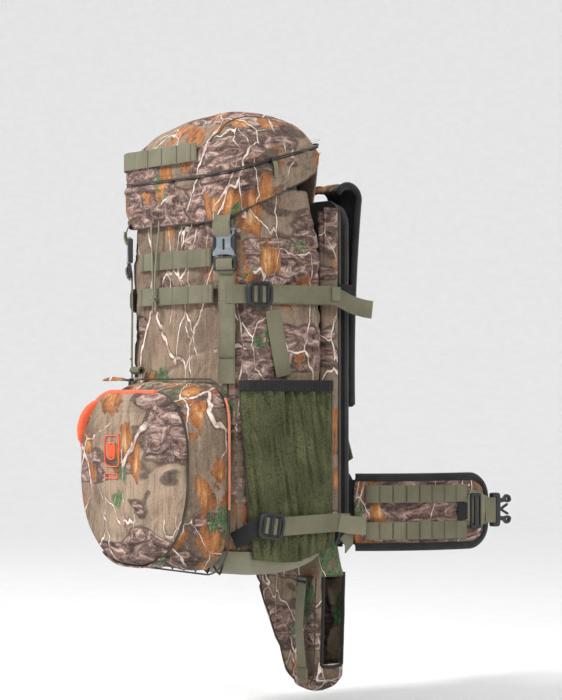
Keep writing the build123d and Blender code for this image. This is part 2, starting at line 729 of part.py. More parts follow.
# --- Collar drawcord: two strands down the bag's front to a knot -------------------------------------
KNOT_Z = 374.0
KNOT_X = -44.0
KNOT_Y = -239.0
CORD_ROUTE = {
    "left": [
        (-58, -234.8, 502), (-57, -235.4, 470), (-52, -237.0, 440), (-48, -238.6, 408), (-46, KNOT_Y, 381)
    ],
    "right": [
        (-36, -234.8, 502), (-36, -235.4, 472), (-40, -237.2, 438), (-42, -238.6, 409), (-42, KNOT_Y, 381)
    ],
}


def corner_radii(route):
    """The largest arc at each corner: 0.45 of the shorter run over the tangent of half the turn."""
    points = [Vector(*p) for p in route]
    radii = []
    for before, here, after in zip(points, points[1:], points[2:]):
        turn = radians((here - before).get_angle(after - here))
        shorter = min((here - before).length, (after - here).length)
        radii.append(0.45 * shorter / (sin(turn / 2) / cos(turn / 2)))
    return radii


for side, route in CORD_ROUTE.items():
    bends = corner_radii(route)
    with BuildPart() as strand:
        with BuildLine():
            line = FilletPolyline(*route, radius=bends)
        with BuildSketch(Plane(origin=line @ 0, z_dir=line % 0)):
            Circle(CORD / 2)
        sweep()
    save(strand.part, f"drawcord_{side}")
    full = pi * CORD**2 / 4 * line.length
    print(side, "radii", [round(r) for r in bends], "volume", round(strand.part.volume / full, 4))

with BuildPart() as knot:
    with Locations((KNOT_X, KNOT_Y, KNOT_Z)):
        Cylinder(4.5, 12)
        fillet(knot.edges(), 3)
    for lean in (-1, 1):
        with Locations((KNOT_X + 2.2 * lean, KNOT_Y, KNOT_Z - 13)):
            Cylinder(CORD / 2, 16)
save(knot.part, "drawcord_knot")
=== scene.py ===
"""Looks of the hunting backpack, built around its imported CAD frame."""

import math

import bmesh
import bpy
import numpy as np
from mathutils import Matrix, Vector, noise
from mathutils.bvhtree import BVHTree


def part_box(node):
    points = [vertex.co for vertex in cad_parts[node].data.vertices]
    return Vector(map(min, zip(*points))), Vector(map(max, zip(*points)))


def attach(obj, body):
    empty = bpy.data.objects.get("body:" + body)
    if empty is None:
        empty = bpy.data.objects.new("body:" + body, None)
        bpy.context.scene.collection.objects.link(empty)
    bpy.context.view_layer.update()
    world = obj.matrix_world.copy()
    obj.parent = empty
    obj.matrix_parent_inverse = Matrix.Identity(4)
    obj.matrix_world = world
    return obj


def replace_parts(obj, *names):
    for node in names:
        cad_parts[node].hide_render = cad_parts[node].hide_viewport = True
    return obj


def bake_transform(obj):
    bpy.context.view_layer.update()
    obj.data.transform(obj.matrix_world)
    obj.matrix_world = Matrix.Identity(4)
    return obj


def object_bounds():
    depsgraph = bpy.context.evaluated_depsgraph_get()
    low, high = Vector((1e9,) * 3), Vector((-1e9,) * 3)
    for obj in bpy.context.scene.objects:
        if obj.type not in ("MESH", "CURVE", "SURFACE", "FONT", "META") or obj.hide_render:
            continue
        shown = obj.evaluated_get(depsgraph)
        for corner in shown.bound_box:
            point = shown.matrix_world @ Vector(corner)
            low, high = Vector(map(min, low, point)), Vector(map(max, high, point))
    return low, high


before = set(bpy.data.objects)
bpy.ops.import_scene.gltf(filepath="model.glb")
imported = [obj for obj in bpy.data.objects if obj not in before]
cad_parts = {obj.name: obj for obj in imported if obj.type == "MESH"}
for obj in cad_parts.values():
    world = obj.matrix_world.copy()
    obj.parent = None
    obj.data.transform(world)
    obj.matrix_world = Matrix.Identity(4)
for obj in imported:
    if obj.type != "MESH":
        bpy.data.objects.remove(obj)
CAD_LOW, CAD_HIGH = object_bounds()
MM = 0.001
SIDES = ((1, "right"), (-1, "left"))

# Sizes that recur: webbing and the slightly narrower one of its loops, and thicknesses.
WEB_WIDTH = 0.025
LOOP_WIDTH = 0.0245
WEB_THICK = 0.0016
CLOTH_THICK = 0.0018
FLAP_THICK = 0.0016

# --- Camera -----------------------------------------------------------------
VIEW_AZIMUTH = math.radians(55.26)
VIEW_RISE = math.radians(-0.9)
VIEW_DISTANCE = 3.2
VIEW_AIM = Vector((0.0352, -0.0793, 0.305))
VIEW_LENS = 117.6

camera_data = bpy.data.cameras.new("camera")
camera_data.lens = VIEW_LENS
camera = bpy.data.objects.new("camera", camera_data)
bpy.context.scene.collection.objects.link(camera)
away = Vector(
    (
        math.sin(VIEW_AZIMUTH) * math.cos(VIEW_RISE),
        -math.cos(VIEW_AZIMUTH) * math.cos(VIEW_RISE),
        math.sin(VIEW_RISE),
    )
)
camera.location = VIEW_AIM + away * VIEW_DISTANCE
camera.rotation_euler = (-away).to_track_quat("-Z", "Y").to_euler()
bpy.context.scene.camera = camera
bpy.context.scene.view_settings.view_transform = "Standard"


# --- Shader building --------------------------------------------------------
class Cloth:
    """A principled material with short calls for the nodes that these finishes share."""

    def __init__(self, name, roughness=0.85, sheen=0.0, specular=0.3):
        self.material = bpy.data.materials.new(name)
        self.material.use_nodes = True
        self.nodes = self.material.node_tree.nodes
        self.links = self.material.node_tree.links
        self.shader = self.nodes["Principled BSDF"]
        self.shader.inputs["Roughness"].default_value = roughness
        self.shader.inputs["Sheen Weight"].default_value = sheen
        self.shader.inputs["Specular IOR Level"].default_value = specular

    def add(self, kind, settings=(), **sockets):
        node = self.nodes.new(kind)
        for key, value in dict(settings).items():
            setattr(node, key, value)
        for key, value in sockets.items():
            self.feed(node.inputs[key.replace("_", " ")], value)
        return node

    def feed(self, socket, value):
        if isinstance(value, bpy.types.NodeSocket):
            self.links.new(value, socket)
        else:
            socket.default_value = value

    def place(self, scale=(1, 1, 1), turn=(0, 0, 0), shift=(0, 0, 0)):
        here = self.add("ShaderNodeTexCoord").outputs["Object"]
        node = self.add("ShaderNodeMapping", Vector=here)
        node.inputs["Location"].default_value = shift
        node.inputs["Rotation"].default_value = turn
        node.inputs["Scale"].default_value = scale
        return node.outputs["Vector"]

    def noise(self, where, scale, detail=3.0, rough=0.55, distortion=0.0):
        node = self.add("ShaderNodeTexNoise", Vector=where, Scale=scale, Detail=detail)
        node.inputs["Roughness"].default_value = rough
        node.inputs["Distortion"].default_value = distortion
        return node.outputs["Fac"]

    def warp(self, where, scale, amount):
        node = self.add("ShaderNodeTexNoise", Vector=where, Scale=scale, Detail=3.0)
        centred = self.add("ShaderNodeVectorMath", {"operation": "SUBTRACT"})
        self.feed(centred.inputs[0], node.outputs["Color"])
        centred.inputs[1].default_value = (0.5, 0.5, 0.5)
        scaled = self.add("ShaderNodeVectorMath", {"operation": "SCALE"})
        self.feed(scaled.inputs[0], centred.outputs[0])
        scaled.inputs["Scale"].default_value = amount
        total = self.add("ShaderNodeVectorMath", {"operation": "ADD"})
        self.feed(total.inputs[0], where)
        self.feed(total.inputs[1], scaled.outputs[0])
        return total.outputs[0]

    def cells(self, where, scale, feature="F1", output="Distance"):
        settings = {"feature": feature}
        node = self.add("ShaderNodeTexVoronoi", settings, Vector=where, Scale=scale)
        return node.outputs[output]

    def wave(self, where, scale, direction):
        settings = {"wave_type": "BANDS", "bands_direction": direction}
        return self.add("ShaderNodeTexWave", settings, Vector=where, Scale=scale).outputs["Fac"]

    def span(self, value, low, high, start=0.0, end=1.0):
        node = self.add("ShaderNodeMapRange", {"interpolation_type": "SMOOTHSTEP"}, Value=value)
        for key, number in (
            ("From Min", low), ("From Max", high), ("To Min", start), ("To Max", end)
        ):
            node.inputs[key].default_value = number
        return node.outputs["Result"]

    def combine(self, operation, first, second):
        node = self.add("ShaderNodeMath", {"operation": operation})
        self.feed(node.inputs[0], first)
        self.feed(node.inputs[1], second)
        return node.outputs[0]

    def times(self, first, second):
        return self.combine("MULTIPLY", first, second)

    def plus(self, first, second):
        return self.combine("ADD", first, second)

    def mix(self, factor, first, second, blend="MIX"):
        node = self.add("ShaderNodeMix", {"data_type": "RGBA", "blend_type": blend})
        self.feed(node.inputs["Factor"], factor)
        self.feed(node.inputs[6], rgba(first))
        self.feed(node.inputs[7], rgba(second))
        return node.outputs[2]

    def ramp(self, value, *stops):
        node = self.add("ShaderNodeValToRGB", Fac=value)
        elements = node.color_ramp.elements
        while len(elements) < len(stops):
            elements.new(0.5)
        for element, (place, colour) in zip(elements, stops):
            element.position = place
            element.color = rgba(colour)
        return node.outputs["Color"]

    def finish(self, colour, height=None, depth=0.0005, strength=0.6, roughness=None):
        self.feed(self.shader.inputs["Base Color"], rgba(colour))
        if roughness is not None:
            self.feed(self.shader.inputs["Roughness"], roughness)
        if height is not None:
            bump = self.add("ShaderNodeBump", Height=height, Strength=strength, Distance=depth)
            self.feed(self.shader.inputs["Normal"], bump.outputs["Normal"])
        return self.material


def rgba(colour):
    if isinstance(colour, bpy.types.NodeSocket) or len(colour) == 4:
        return colour
    return (*colour, 1.0)


def shaded(colour, factor, lift=0.0):
    return tuple(min(1.0, c * factor + lift) for c in colour)


def plain_weave(cloth, pitch):
    """The height of crossed threads, pitch metres apart, along all three axes."""
    where = cloth.place()
    heights = [cloth.wave(where, 0.5 / pitch, axis) for axis in "XYZ"]
    return cloth.plus(cloth.plus(heights[0], heights[1]), heights[2])


def camo(name, shift, bark=0.5, leaf=0.5, green=0.5, tone=1.0):
    """Woodland print: a taupe ground, bark limbs, leaves, needle clusters and pale twigs."""
    cloth = Cloth(name, roughness=0.86, sheen=0.02, specular=0.12)
    here = cloth.place(shift=shift)
    drawn = cloth.warp(here, 9.0, 0.05)
    fine = cloth.warp(here, 40.0, 0.006)

    ground_tone = cloth.noise(drawn, 6.0, 5.0, 0.6)
    # tone scales the ground's colours; the side, gusset and shaded copies set it below 1 as painted
    # shade.
    ground = cloth.ramp(
        ground_tone,
        (0.28, shaded((0.080, 0.054, 0.036), tone)),
        (0.44, shaded((0.200, 0.140, 0.096), tone)),
        (0.58, shaded((0.325, 0.236, 0.165), tone)),
        (0.74, shaded((0.215, 0.160, 0.104), tone)),
    )
    streak_place = cloth.place(scale=(1, 1, 0.12), shift=shift)
    streaks = cloth.noise(streak_place, 150.0, 4.0, 0.65)
    ground = cloth.mix(cloth.span(streaks, 0.48, 0.70, 0.0, 0.60), ground, (0.085, 0.058, 0.042))
    ground = cloth.mix(cloth.span(streaks, 0.44, 0.30, 0.0, 0.35), ground, (0.46, 0.38, 0.30))

    limb_place = cloth.warp(
        cloth.place(scale=(0.55, 0.55, 1.35), turn=(0.6, -0.75, 0.0), shift=shift), 10.0, 0.06
    )
    limb_field = cloth.noise(limb_place, 7.5, 3.0, 0.5)
    level = 0.585 - 0.13 * bark
    limbs = cloth.span(limb_field, level, level + 0.012)
    ridges = cloth.noise(
        cloth.warp(
            cloth.place(scale=(0.62, 0.62, 1.35), turn=(0.6, -0.75, 0.3), shift=shift), 16.0, 0.02
        ),
        52.0, 9.0, 0.72, 1.3
    )
    bark_colour = cloth.ramp(
        ridges,
        (0.36, (0.018, 0.010, 0.010)),
        (0.46, (0.090, 0.050, 0.045)),
        (0.54, (0.235, 0.150, 0.128)),
        (0.63, (0.56, 0.405, 0.335)),
    )
    colour = cloth.mix(limbs, ground, bark_colour)
    rim = cloth.times(
        cloth.span(limb_field, level - 0.012, level),
        cloth.span(limb_field, level + 0.02, level + 0.005)
    )
    colour = cloth.mix(cloth.times(rim, 0.75), colour, (0.045, 0.028, 0.024))

    leaf_place = cloth.warp(
        cloth.place(scale=(1, 1, 0.62), turn=(0.6, 0.35, 0.5), shift=shift), 42.0, 0.036
    )
    leaf_far = cloth.cells(leaf_place, 30.0)
    leaf_pick = cloth.add(
        "ShaderNodeSeparateColor", Color=cloth.cells(leaf_place, 30.0, output="Color")
    )
    patch = cloth.noise(here, 7.0, 1.0)
    chosen = cloth.times(
        cloth.span(leaf_pick.outputs[0], 0.80 - 0.6 * leaf, 0.81 - 0.6 * leaf),
        cloth.span(patch, 0.50 - 0.06 * leaf, 0.52 - 0.06 * leaf),
    )
    leaf_mask = cloth.times(cloth.span(leaf_far, 0.55, 0.52), chosen)
    vein = cloth.noise(
        cloth.place(scale=(1, 1, 0.2), turn=(0.6, 0.35, 0.5), shift=shift), 120.0, 4.0, 0.65
    )
    leaf_colour = cloth.ramp(
        cloth.plus(cloth.times(vein, 0.75), cloth.times(leaf_far, 0.55)),
        (0.34, (0.60, 0.40, 0.20)),
        (0.50, (0.40, 0.155, 0.045)),
        (0.66, (0.22, 0.075, 0.025)),
        (0.80, (0.07, 0.03, 0.018)),
    )
    colour = cloth.mix(leaf_mask, colour, leaf_colour)

    needle_field = cloth.noise(cloth.warp(here, 38.0, 0.035), 12.0, 3.0)
    needle_level = 0.665 - 0.07 * green
    needles = cloth.span(needle_field, needle_level, needle_level + 0.03)
    blades = cloth.noise(
        cloth.place(scale=(1.6, 1.6, 0.35), turn=(0.5, 0.7, 0.0), shift=shift), 120.0, 5.0, 0.7, 1.2
    )
    needle_colour = cloth.ramp(
        blades,
        (0.38, (0.006, 0.022, 0.010)),
        (0.52, (0.022, 0.095, 0.034)),
        (0.64, (0.105, 0.24, 0.085)),
        (0.76, (0.34, 0.38, 0.20)),
    )
    cover = cloth.times(needles, cloth.span(blades, 0.44, 0.49))
    colour = cloth.mix(cover, colour, needle_colour)

    for scale, thick, squeeze, turn, seed in (
        (7.0, 0.0105, 0.45, (0.5, 0.3, 0.2), 0.0),
        (12.0, 0.0100, 0.50, (-0.6, 0.25, 0.9), 3.7),
        (19.0, 0.0110, 0.42, (0.9, -0.6, 0.4), 8.2),
    ):
        twig_shift = (shift[0] + seed, shift[1], shift[2])
        twig_place = cloth.warp(
            cloth.place(scale=(1, 1, squeeze), turn=turn, shift=twig_shift), 26.0, 0.026
        )
        edge = cloth.cells(twig_place, scale, "DISTANCE_TO_EDGE")
        kept = cloth.span(cloth.noise(twig_place, scale * 0.6, 1.0), 0.51, 0.54)
        shade = cloth.times(cloth.span(edge, thick * 2.4, thick * 1.5), kept)
        light = cloth.times(cloth.span(edge, thick * 1.15, thick * 0.7), kept)
        colour = cloth.mix(cloth.times(shade, 0.6), colour, (0.07, 0.04, 0.032))
        pale = cloth.ramp(
            cloth.noise(fine, 70.0, 2.0), (0.35, (0.36, 0.235, 0.19)), (0.6, (0.78, 0.68, 0.60))
        )
        colour = cloth.mix(light, colour, pale)

    dust = cloth.noise(here, 520.0, 2.0)
    colour = cloth.mix(cloth.span(dust, 0.35, 0.7, 0.0, 0.16), colour, (0.40, 0.33, 0.27))
    colour = cloth.mix(cloth.span(dust, 0.55, 0.35, 0.0, 0.20), colour, (0.03, 0.02, 0.015))
    weave = plain_weave(cloth, 0.0011)
    crumple = cloth.noise(here, 55.0, 4.0, 0.6)
    height = cloth.plus(cloth.times(weave, 0.12), crumple)
    return cloth.finish(colour, height, depth=0.0012, strength=0.55)


def webbing_finish(name, dark, light, ribs=0.0022):
    """Ribbed nylon webbing with slightly faded, fuzzy threads."""
    cloth = Cloth(name, roughness=0.75, sheen=0.04, specular=0.2)
    here = cloth.place()
    threads = cloth.noise(cloth.place(), 900.0, 2.0)
    fade = cloth.noise(here, 14.0, 4.0)
    colour = cloth.mix(cloth.span(fade, 0.3, 0.7), dark, light)
    colour = cloth.mix(cloth.span(threads, 0.3, 0.75, 0.0, 0.4), colour, shaded(dark, 0.55))
    height = cloth.plus(plain_weave(cloth, ribs), cloth.times(threads, 0.6))
    return cloth.finish(colour, height, depth=0.0006, strength=0.5)


def moulded_finish(name, colour, roughness=0.42):
    """Moulded nylon with a fine spark texture and handling scuffs."""
    cloth = Cloth(name, roughness=roughness, specular=0.5)
    here = cloth.place()
    grain = cloth.noise(here, 1800.0, 2.0)
    scuff = cloth.noise(cloth.warp(here, 60.0, 0.01), 130.0, 6.0, 0.7)
    tone = cloth.mix(cloth.span(scuff, 0.52, 0.75, 0.0, 0.35), colour, shaded(colour, 2.6, 0.02))
    rough = cloth.span(scuff, 0.3, 0.8, roughness - 0.08, roughness + 0.2)
    return cloth.finish(tone, grain, depth=0.0002, strength=0.35, roughness=rough)


def mesh_finish(name, yarn, gap, pitch, slant=0.0):
    """Knitted mesh: yarn in slanting rows about rows of gaps, with painted shade in the gaps and a
    painted highlight along the rows.
    """
    cloth = Cloth(name, roughness=0.85, sheen=0.04, specular=0.12)
    here = cloth.place()
    knit = cloth.place(scale=(1.0, 1.0, 0.72), turn=(slant, slant, 0.0))
    far = cloth.cells(cloth.warp(knit, 260.0, 0.0003), 1.0 / pitch)
    holes = cloth.span(far, 0.42, 0.26, 0.0, 0.8)
    rows = cloth.wave(knit, 1.0 / (pitch * 6.4), "DIAGONAL")
    shade = cloth.noise(here, 22.0, 4.0)
    thread = cloth.mix(cloth.span(shade, 0.3, 0.7), yarn, shaded(yarn, 0.55))
    # Painted highlight: the yarn is lightened along the crests of the rows.
    thread = cloth.mix(cloth.span(rows, 0.55, 0.9, 0.0, 0.12), thread, shaded(yarn, 1.5))
    # The gaps take the gap colour: painted shade for the dark seen through the holes.
    colour = cloth.mix(holes, thread, gap)
    height = cloth.plus(cloth.span(far, 0.1, 0.6), cloth.times(rows, 0.3))
    return cloth.finish(colour, height, depth=0.0009, strength=0.8)


def cloth_finish(name, dark, light, pitch=0.0012, roughness=0.85, sheen=0.15):
    """A plain woven cloth of one colour with faint mottling."""
    cloth = Cloth(name, roughness=roughness, sheen=sheen, specular=0.25)
    here = cloth.place()
    mottle = cloth.noise(here, 26.0, 5.0, 0.6)
    lint = cloth.noise(here, 700.0, 2.0)
    colour = cloth.mix(cloth.span(mottle, 0.3, 0.7), dark, light)
    colour = cloth.mix(cloth.span(lint, 0.45, 0.75, 0.0, 0.3), colour, shaded(dark, 0.6))
    height = cloth.plus(plain_weave(cloth, pitch), cloth.noise(here, 60.0, 3.0))
    return cloth.finish(colour, height, depth=0.0006, strength=0.5)


# Copies of one printed fabric, each with its own amounts of bark, leaves and needles; tone scales
# the ground. The side, gusset and shaded copies have darker grounds as painted shade; the lid's
# ground is a little darker and the door's a little lighter.
CAMO_FRONT = camo("camo_front", (0.31, 0.12, 0.05), bark=0.30, leaf=0.5, green=0.5, tone=1.0)
# Side copy: its ground is darkened as painted shade for faces turned sideways and back.
CAMO_SHADED_SIDE = camo("camo_shaded_side", (1.27, 0.55, 0.41), bark=0.62, leaf=0.6, green=0.95, tone=0.75)
CAMO_LID = camo("camo_lid", (2.13, 1.92, 0.77), bark=0.75, leaf=1.0, green=0.9, tone=0.85)
CAMO_POCKET = camo("camo_pocket", (0.72, 3.31, 1.63), bark=0.30, leaf=0.3, green=0.35, tone=1.1)
# Gusset copy: its ground is darkened as painted shade for the pocket's gusset and the boot under
# the bag.
CAMO_GUSSET = camo("camo_gusset", (4.05, 0.93, 2.21), bark=0.65, leaf=0.8, green=0.9, tone=0.8)
# Shaded copy: its ground is darkened as painted shade for straps, pads and the cloth under the door
# and the bag.
CAMO_SHADED = camo("camo_shaded", (5.4, 2.4, 3.6), bark=0.8, leaf=0.6, green=0.8, tone=0.7)
OLIVE = webbing_finish("olive_webbing", (0.130, 0.122, 0.078), (0.205, 0.192, 0.128))
OLIVE_LIGHT = webbing_finish("pale_webbing", (0.165, 0.155, 0.100), (0.245, 0.230, 0.155))
BLACK_WEB = webbing_finish("black_webbing", (0.012, 0.012, 0.012), (0.028, 0.028, 0.028))
PLASTIC = moulded_finish("black_plastic", (0.013, 0.013, 0.014))
# Black plastic painted pale blue-grey as a highlight, for the lid socket's face.
PLASTIC_HIGHLIGHT = moulded_finish("plastic_painted_highlight", (0.155, 0.175, 0.195), 0.28)
# The second colour of each mesh is the painted shade in its gaps.
STRETCH_MESH = mesh_finish("olive_mesh", (0.105, 0.112, 0.052), (0.026, 0.030, 0.016), 0.0021, 0.7)
SPACER = mesh_finish("black_spacer", (0.030, 0.030, 0.031), (0.004, 0.004, 0.004), 0.0042)
ORANGE = cloth_finish("orange_cloth", (0.80, 0.085, 0.022), (0.95, 0.16, 0.05), sheen=0.3)
FADED_ORANGE = cloth_finish("faded_piping", (0.55, 0.16, 0.08), (0.72, 0.24, 0.13))
BASE = cloth_finish("base_cloth", (0.185, 0.175, 0.115), (0.255, 0.240, 0.165))
LINING = cloth_finish("lining", (0.115, 0.115, 0.075), (0.155, 0.150, 0.105), roughness=0.6)
BINDING = cloth_finish("black_binding", (0.010, 0.010, 0.010), (0.024, 0.023, 0.022), pitch=0.0016)
SEAM_DARK = cloth_finish("seam_tape", (0.035, 0.026, 0.020), (0.075, 0.058, 0.042))
THREAD = cloth_finish("thread", (0.060, 0.055, 0.035), (0.100, 0.090, 0.060), pitch=0.0006)
CORD_FINISH = webbing_finish("cord_braid", (0.20, 0.185, 0.125), (0.30, 0.275, 0.195), ribs=0.0012)


# --- Mesh building ----------------------------------------------------------
def piece(name, verts, faces, material, body, smooth=True, sharp=None):
    """A mesh object of its own that moves with one CAD body."""
    mesh = bpy.data.meshes.new(name)
    mesh.from_pydata([tuple(v) for v in verts], [], faces)
    mesh.validate()
    build = bmesh.new()
    build.from_mesh(mesh)
    bmesh.ops.remove_doubles(build, verts=build.verts, dist=1e-6)
    bmesh.ops.recalc_face_normals(build, faces=build.faces)
    for face in build.faces:
        face.smooth = smooth
    if sharp:
        for edge in build.edges:
            if len(edge.link_faces) == 2 and edge.calc_face_angle(0) > math.radians(sharp):
                edge.smooth = False
    build.to_mesh(mesh)
    build.free()
    thing = bpy.data.objects.new(name, mesh)
    bpy.context.scene.collection.objects.link(thing)
    mesh.materials.append(material)
    if body:
        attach(thing, body)
    return thing


def grid_faces(rows, columns, closed):
    """Quads over a grid of rows by columns; closed joins the last column to the first."""
    faces = []
    for row in range(rows - 1):
        for column in range(columns if closed else columns - 1):
            beside = (column + 1) % columns
            here, above = row * columns, (row + 1) * columns
            faces.append((here + column, here + beside, above + beside, above + column))
    return faces


def straight(start, end, steps):
    """Evenly spaced points from start to end."""
    return [start.lerp(end, k / steps) for k in range(steps + 1)]


def cap_faces(first, count, tip):
    """Triangles from a ring of points to one at its middle."""
    return [(first + i, first + (i + 1) % count, tip) for i in range(count)]


def thicken(thing, thick):
    """Give a sheet its thickness inwards, away from its outer face."""
    modifier = thing.modifiers.new("thickness", "SOLIDIFY")
    modifier.thickness = thick
    modifier.offset = -1.0


def smooth_path(points, per=8, closed=False):
    """Points along a smooth curve through the given ones."""
    points = [Vector(p) for p in points]
    count = len(points)
    out = []
    for i in range(count if closed else count - 1):
        p1 = points[i]
        p2 = points[(i + 1) % count]
        p0 = points[i - 1] if closed or i > 0 else p1 * 2 - p2
        p3 = points[(i + 2) % count] if closed or i + 2 < count else p2 * 2 - p1
        for k in range(per):
            t = k / per
            out.append(
                0.5
                * (
                    2 * p1
                    + (p2 - p0) * t
                    + (2 * p0 - 5 * p1 + 4 * p2 - p3) * t * t
                    + (3 * p1 - p0 - 3 * p2 + p3) * t**3
                )
            )
    if not closed:
        out.append(points[-1].copy())
    return out


def ribbon(name, path, across, width, thick, material, body, edge=0.0007):
    """Flat webbing with softened edges along a path; across is its width direction."""
    count = len(path)
    sides = across if isinstance(across, list) else [Vector(across)] * count
    verts = []
    half = width / 2
    for i, point in enumerate(path):
        ahead = path[min(i + 1, count - 1)] - path[max(i - 1, 0)]
        ahead.normalize()
        side = Vector(sides[i])
        side = (side - ahead * side.dot(ahead)).normalized()
        up = ahead.cross(side).normalized()
        for a, b in (
            (-half, 0.18), (-half + edge, 0.5), (half - edge, 0.5), (half, 0.18),
            (half, -0.18), (half - edge, -0.5), (-half + edge, -0.5), (-half, -0.18),
        ):
            verts.append(point + side * a + up * (b * thick))
    faces = grid_faces(count, 8, True)
    faces.append(tuple(range(7, -1, -1)))
    faces.append(tuple(range((count - 1) * 8, count * 8)))
    return piece(name, verts, faces, material, body, sharp=32)


def tube(name, path, radius, material, body, closed=False, sides=8, flat=1.0):
    """A round roll, such as piping or binding, along a path."""
    count = len(path)
    verts = []
    up = Vector((0, 0, 1))
    previous = None
    for i, point in enumerate(path):
        if closed:
            ahead = path[(i + 1) % count] - path[i - 1]
        else:
            ahead = path[min(i + 1, count - 1)] - path[max(i - 1, 0)]
        ahead.normalize()
        if previous is None:
            side = ahead.cross(up)
            if side.length < 0.1:
                side = ahead.cross(Vector((1, 0, 0)))
        else:
            side = previous - ahead * previous.dot(ahead)
        side.normalize()
        previous = side
        other = ahead.cross(side)
        for k in range(sides):
            turn = 2 * math.pi * k / sides
            verts.append(point + (side * math.cos(turn) + other * math.sin(turn) * flat) * radius)
    faces = grid_faces(count, sides, True)
    if closed:
        last = (count - 1) * sides
        faces += [(last + k, last + (k + 1) % sides, (k + 1) % sides, k) for k in range(sides)]
    else:
        faces.append(tuple(range(sides - 1, -1, -1)))
        faces.append(tuple(range((count - 1) * sides, count * sides)))
    return piece(name, verts, faces, material, body)


def rounded(points, radius, steps=4):
    """A closed outline with each corner replaced by a short arc."""
    out = []
    count = len(points)
    for i, corner in enumerate(points):
        here = Vector((*corner[:2], 0))
        before = Vector((*points[i - 1][:2], 0)) - here
        after = Vector((*points[(i + 1) % count][:2], 0)) - here
        size = corner[2] if len(corner) > 2 else radius
        size = min(size, before.length * 0.49, after.length * 0.49)
        a = here + before.normalized() * size
        b = here + after.normalized() * size
        for k in range(steps + 1):
            t = k / steps
            out.append((a * (1 - t) ** 2 + here * (2 * t * (1 - t)) + b * t * t).to_2d())
    return out


def moulded(name, outlines, thick, matrix, material, body, bevel=0.0006):
    """A plate cut to outlines, outer first and then its holes, with rolled edges."""
    curve = bpy.data.curves.new(name, "CURVE")
    curve.dimensions = "2D"
    curve.fill_mode = "BOTH"
    curve.extrude = thick / 2 - bevel
    curve.bevel_depth = bevel
    curve.bevel_resolution = 2
    curve.offset = -bevel
    for outline in outlines:
        spline = curve.splines.new("POLY")
        spline.points.add(len(outline) - 1)
        for point, place in zip(spline.points, outline):
            point.co = (place[0], place[1], 0, 1)
        spline.use_cyclic_u = True
    holder = bpy.data.objects.new(name + "_draft", curve)
    bpy.context.scene.collection.objects.link(holder)
    bpy.context.view_layer.update()
    source = bpy.data.meshes.new_from_object(
        holder.evaluated_get(bpy.context.evaluated_depsgraph_get())
    )
    bpy.data.objects.remove(holder)
    verts = [matrix @ v.co for v in source.vertices]
    faces = [tuple(p.vertices) for p in source.polygons]
    bpy.data.meshes.remove(source)
    return piece(name, verts, faces, material, body, sharp=38)


def rectangle(width, height, x=0.0, y=0.0, radius=0.002):
    w, h = width / 2, height / 2
    return rounded([(x - w, y - h), (x + w, y - h), (x + w, y + h), (x - w, y + h)], radius)


def axes(origin, along, normal):
    """A matrix with x along, z along the normal and its origin at a point."""
    along = Vector(along).normalized()
    normal = Vector(normal)
    normal = (normal - along * normal.dot(along)).normalized()
    across = normal.cross(along)
    matrix = Matrix.Identity(4)
    for column, axis in enumerate((along, across, normal)):
        matrix[0][column], matrix[1][column], matrix[2][column] = axis
    matrix.translation = Vector(origin)
    return matrix


def refinish(node, material):
    """Show a CAD node as it is, in another finish."""
    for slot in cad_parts[node].material_slots:
        slot.material = material


def merge(name, parts):
    """One object out of several that ride on the same body."""
    base = parts[0]
    with bpy.context.temp_override(active_object=base, selected_editable_objects=parts):
        bpy.ops.object.join()
    base.name = name
    return base


def rough_noise(point, scale, seed=0.0):
    return noise.noise(
        Vector((point[0] * scale[0] + seed, point[1] * scale[1], point[2] * scale[2]))
    )


def ridge(value, sharpness):
    """A fold's height: 1 where the noise crosses zero, falling straight to 0 beside it."""
    return max(0.0, 1 - abs(value) * sharpness)


def gauss(value, centre, width):
    return math.exp(-(((value - centre) / width) ** 2))


# --- Plan of the bag: a rounded rectangle told by columns -------------------
def plan_columns(along_x, along_y, corner):
    """Columns round a rounded rectangle, from the front's left end, seen from above."""
    columns = []
    sides = (
        ((-1, -1), (1, -1), (0, -1), along_x),
        ((1, -1), (1, 1), (1, 0), along_y),
        ((1, 1), (-1, 1), (0, 1), along_x),
        ((-1, 1), (-1, -1), (-1, 0), along_y),
    )
    for start, end, normal, count in sides:
        for i in range(count):
            t = i / count
            a = start[0] + (end[0] - start[0]) * t
            b = start[1] + (end[1] - start[1]) * t
            columns.append((a, b, normal[0], normal[1]))
        base = math.atan2(normal[1], normal[0])
        for i in range(corner):
            turn = base + math.pi / 2 * i / corner
            columns.append((end[0], end[1], math.cos(turn), math.sin(turn)))
    return columns


def plan_point(column, half_x, half_y, radius, centre_y):
    a, b, nx, ny = column
    radius = min(radius, half_x, half_y)
    return (
        a * (half_x - radius) + radius * nx,
        centre_y + b * (half_y - radius) + radius * ny,
    )


bag_low, bag_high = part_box("main_bag")
BAG_HALF_X = bag_high.x
BAG_FRONT = bag_low.y
BAG_BACK = bag_high.y
BAG_TOP = bag_high.z
BAG_FOOT = 0.026
BAG_RADIUS = 0.045
BAG_SHOULDER = 0.430
TOP_HALF_X = 0.136
TOP_DEPTH = 0.152


def bag_plan(z):
    """Half width, half depth and centre of the bag's plan at one height."""
    t = max(0.0, (z - BAG_SHOULDER) / (BAG_TOP - BAG_SHOULDER))
    half_x = BAG_HALF_X + (TOP_HALF_X - BAG_HALF_X) * t
    depth = (BAG_BACK - BAG_FRONT) + (TOP_DEPTH - (BAG_BACK - BAG_FRONT)) * t
    return half_x, depth / 2, BAG_FRONT + depth / 2


SIDE_STRAP_Z = 0.377
SIDE_SEAM_Z = 0.442
LOWER_STRAP_Z = 0.069


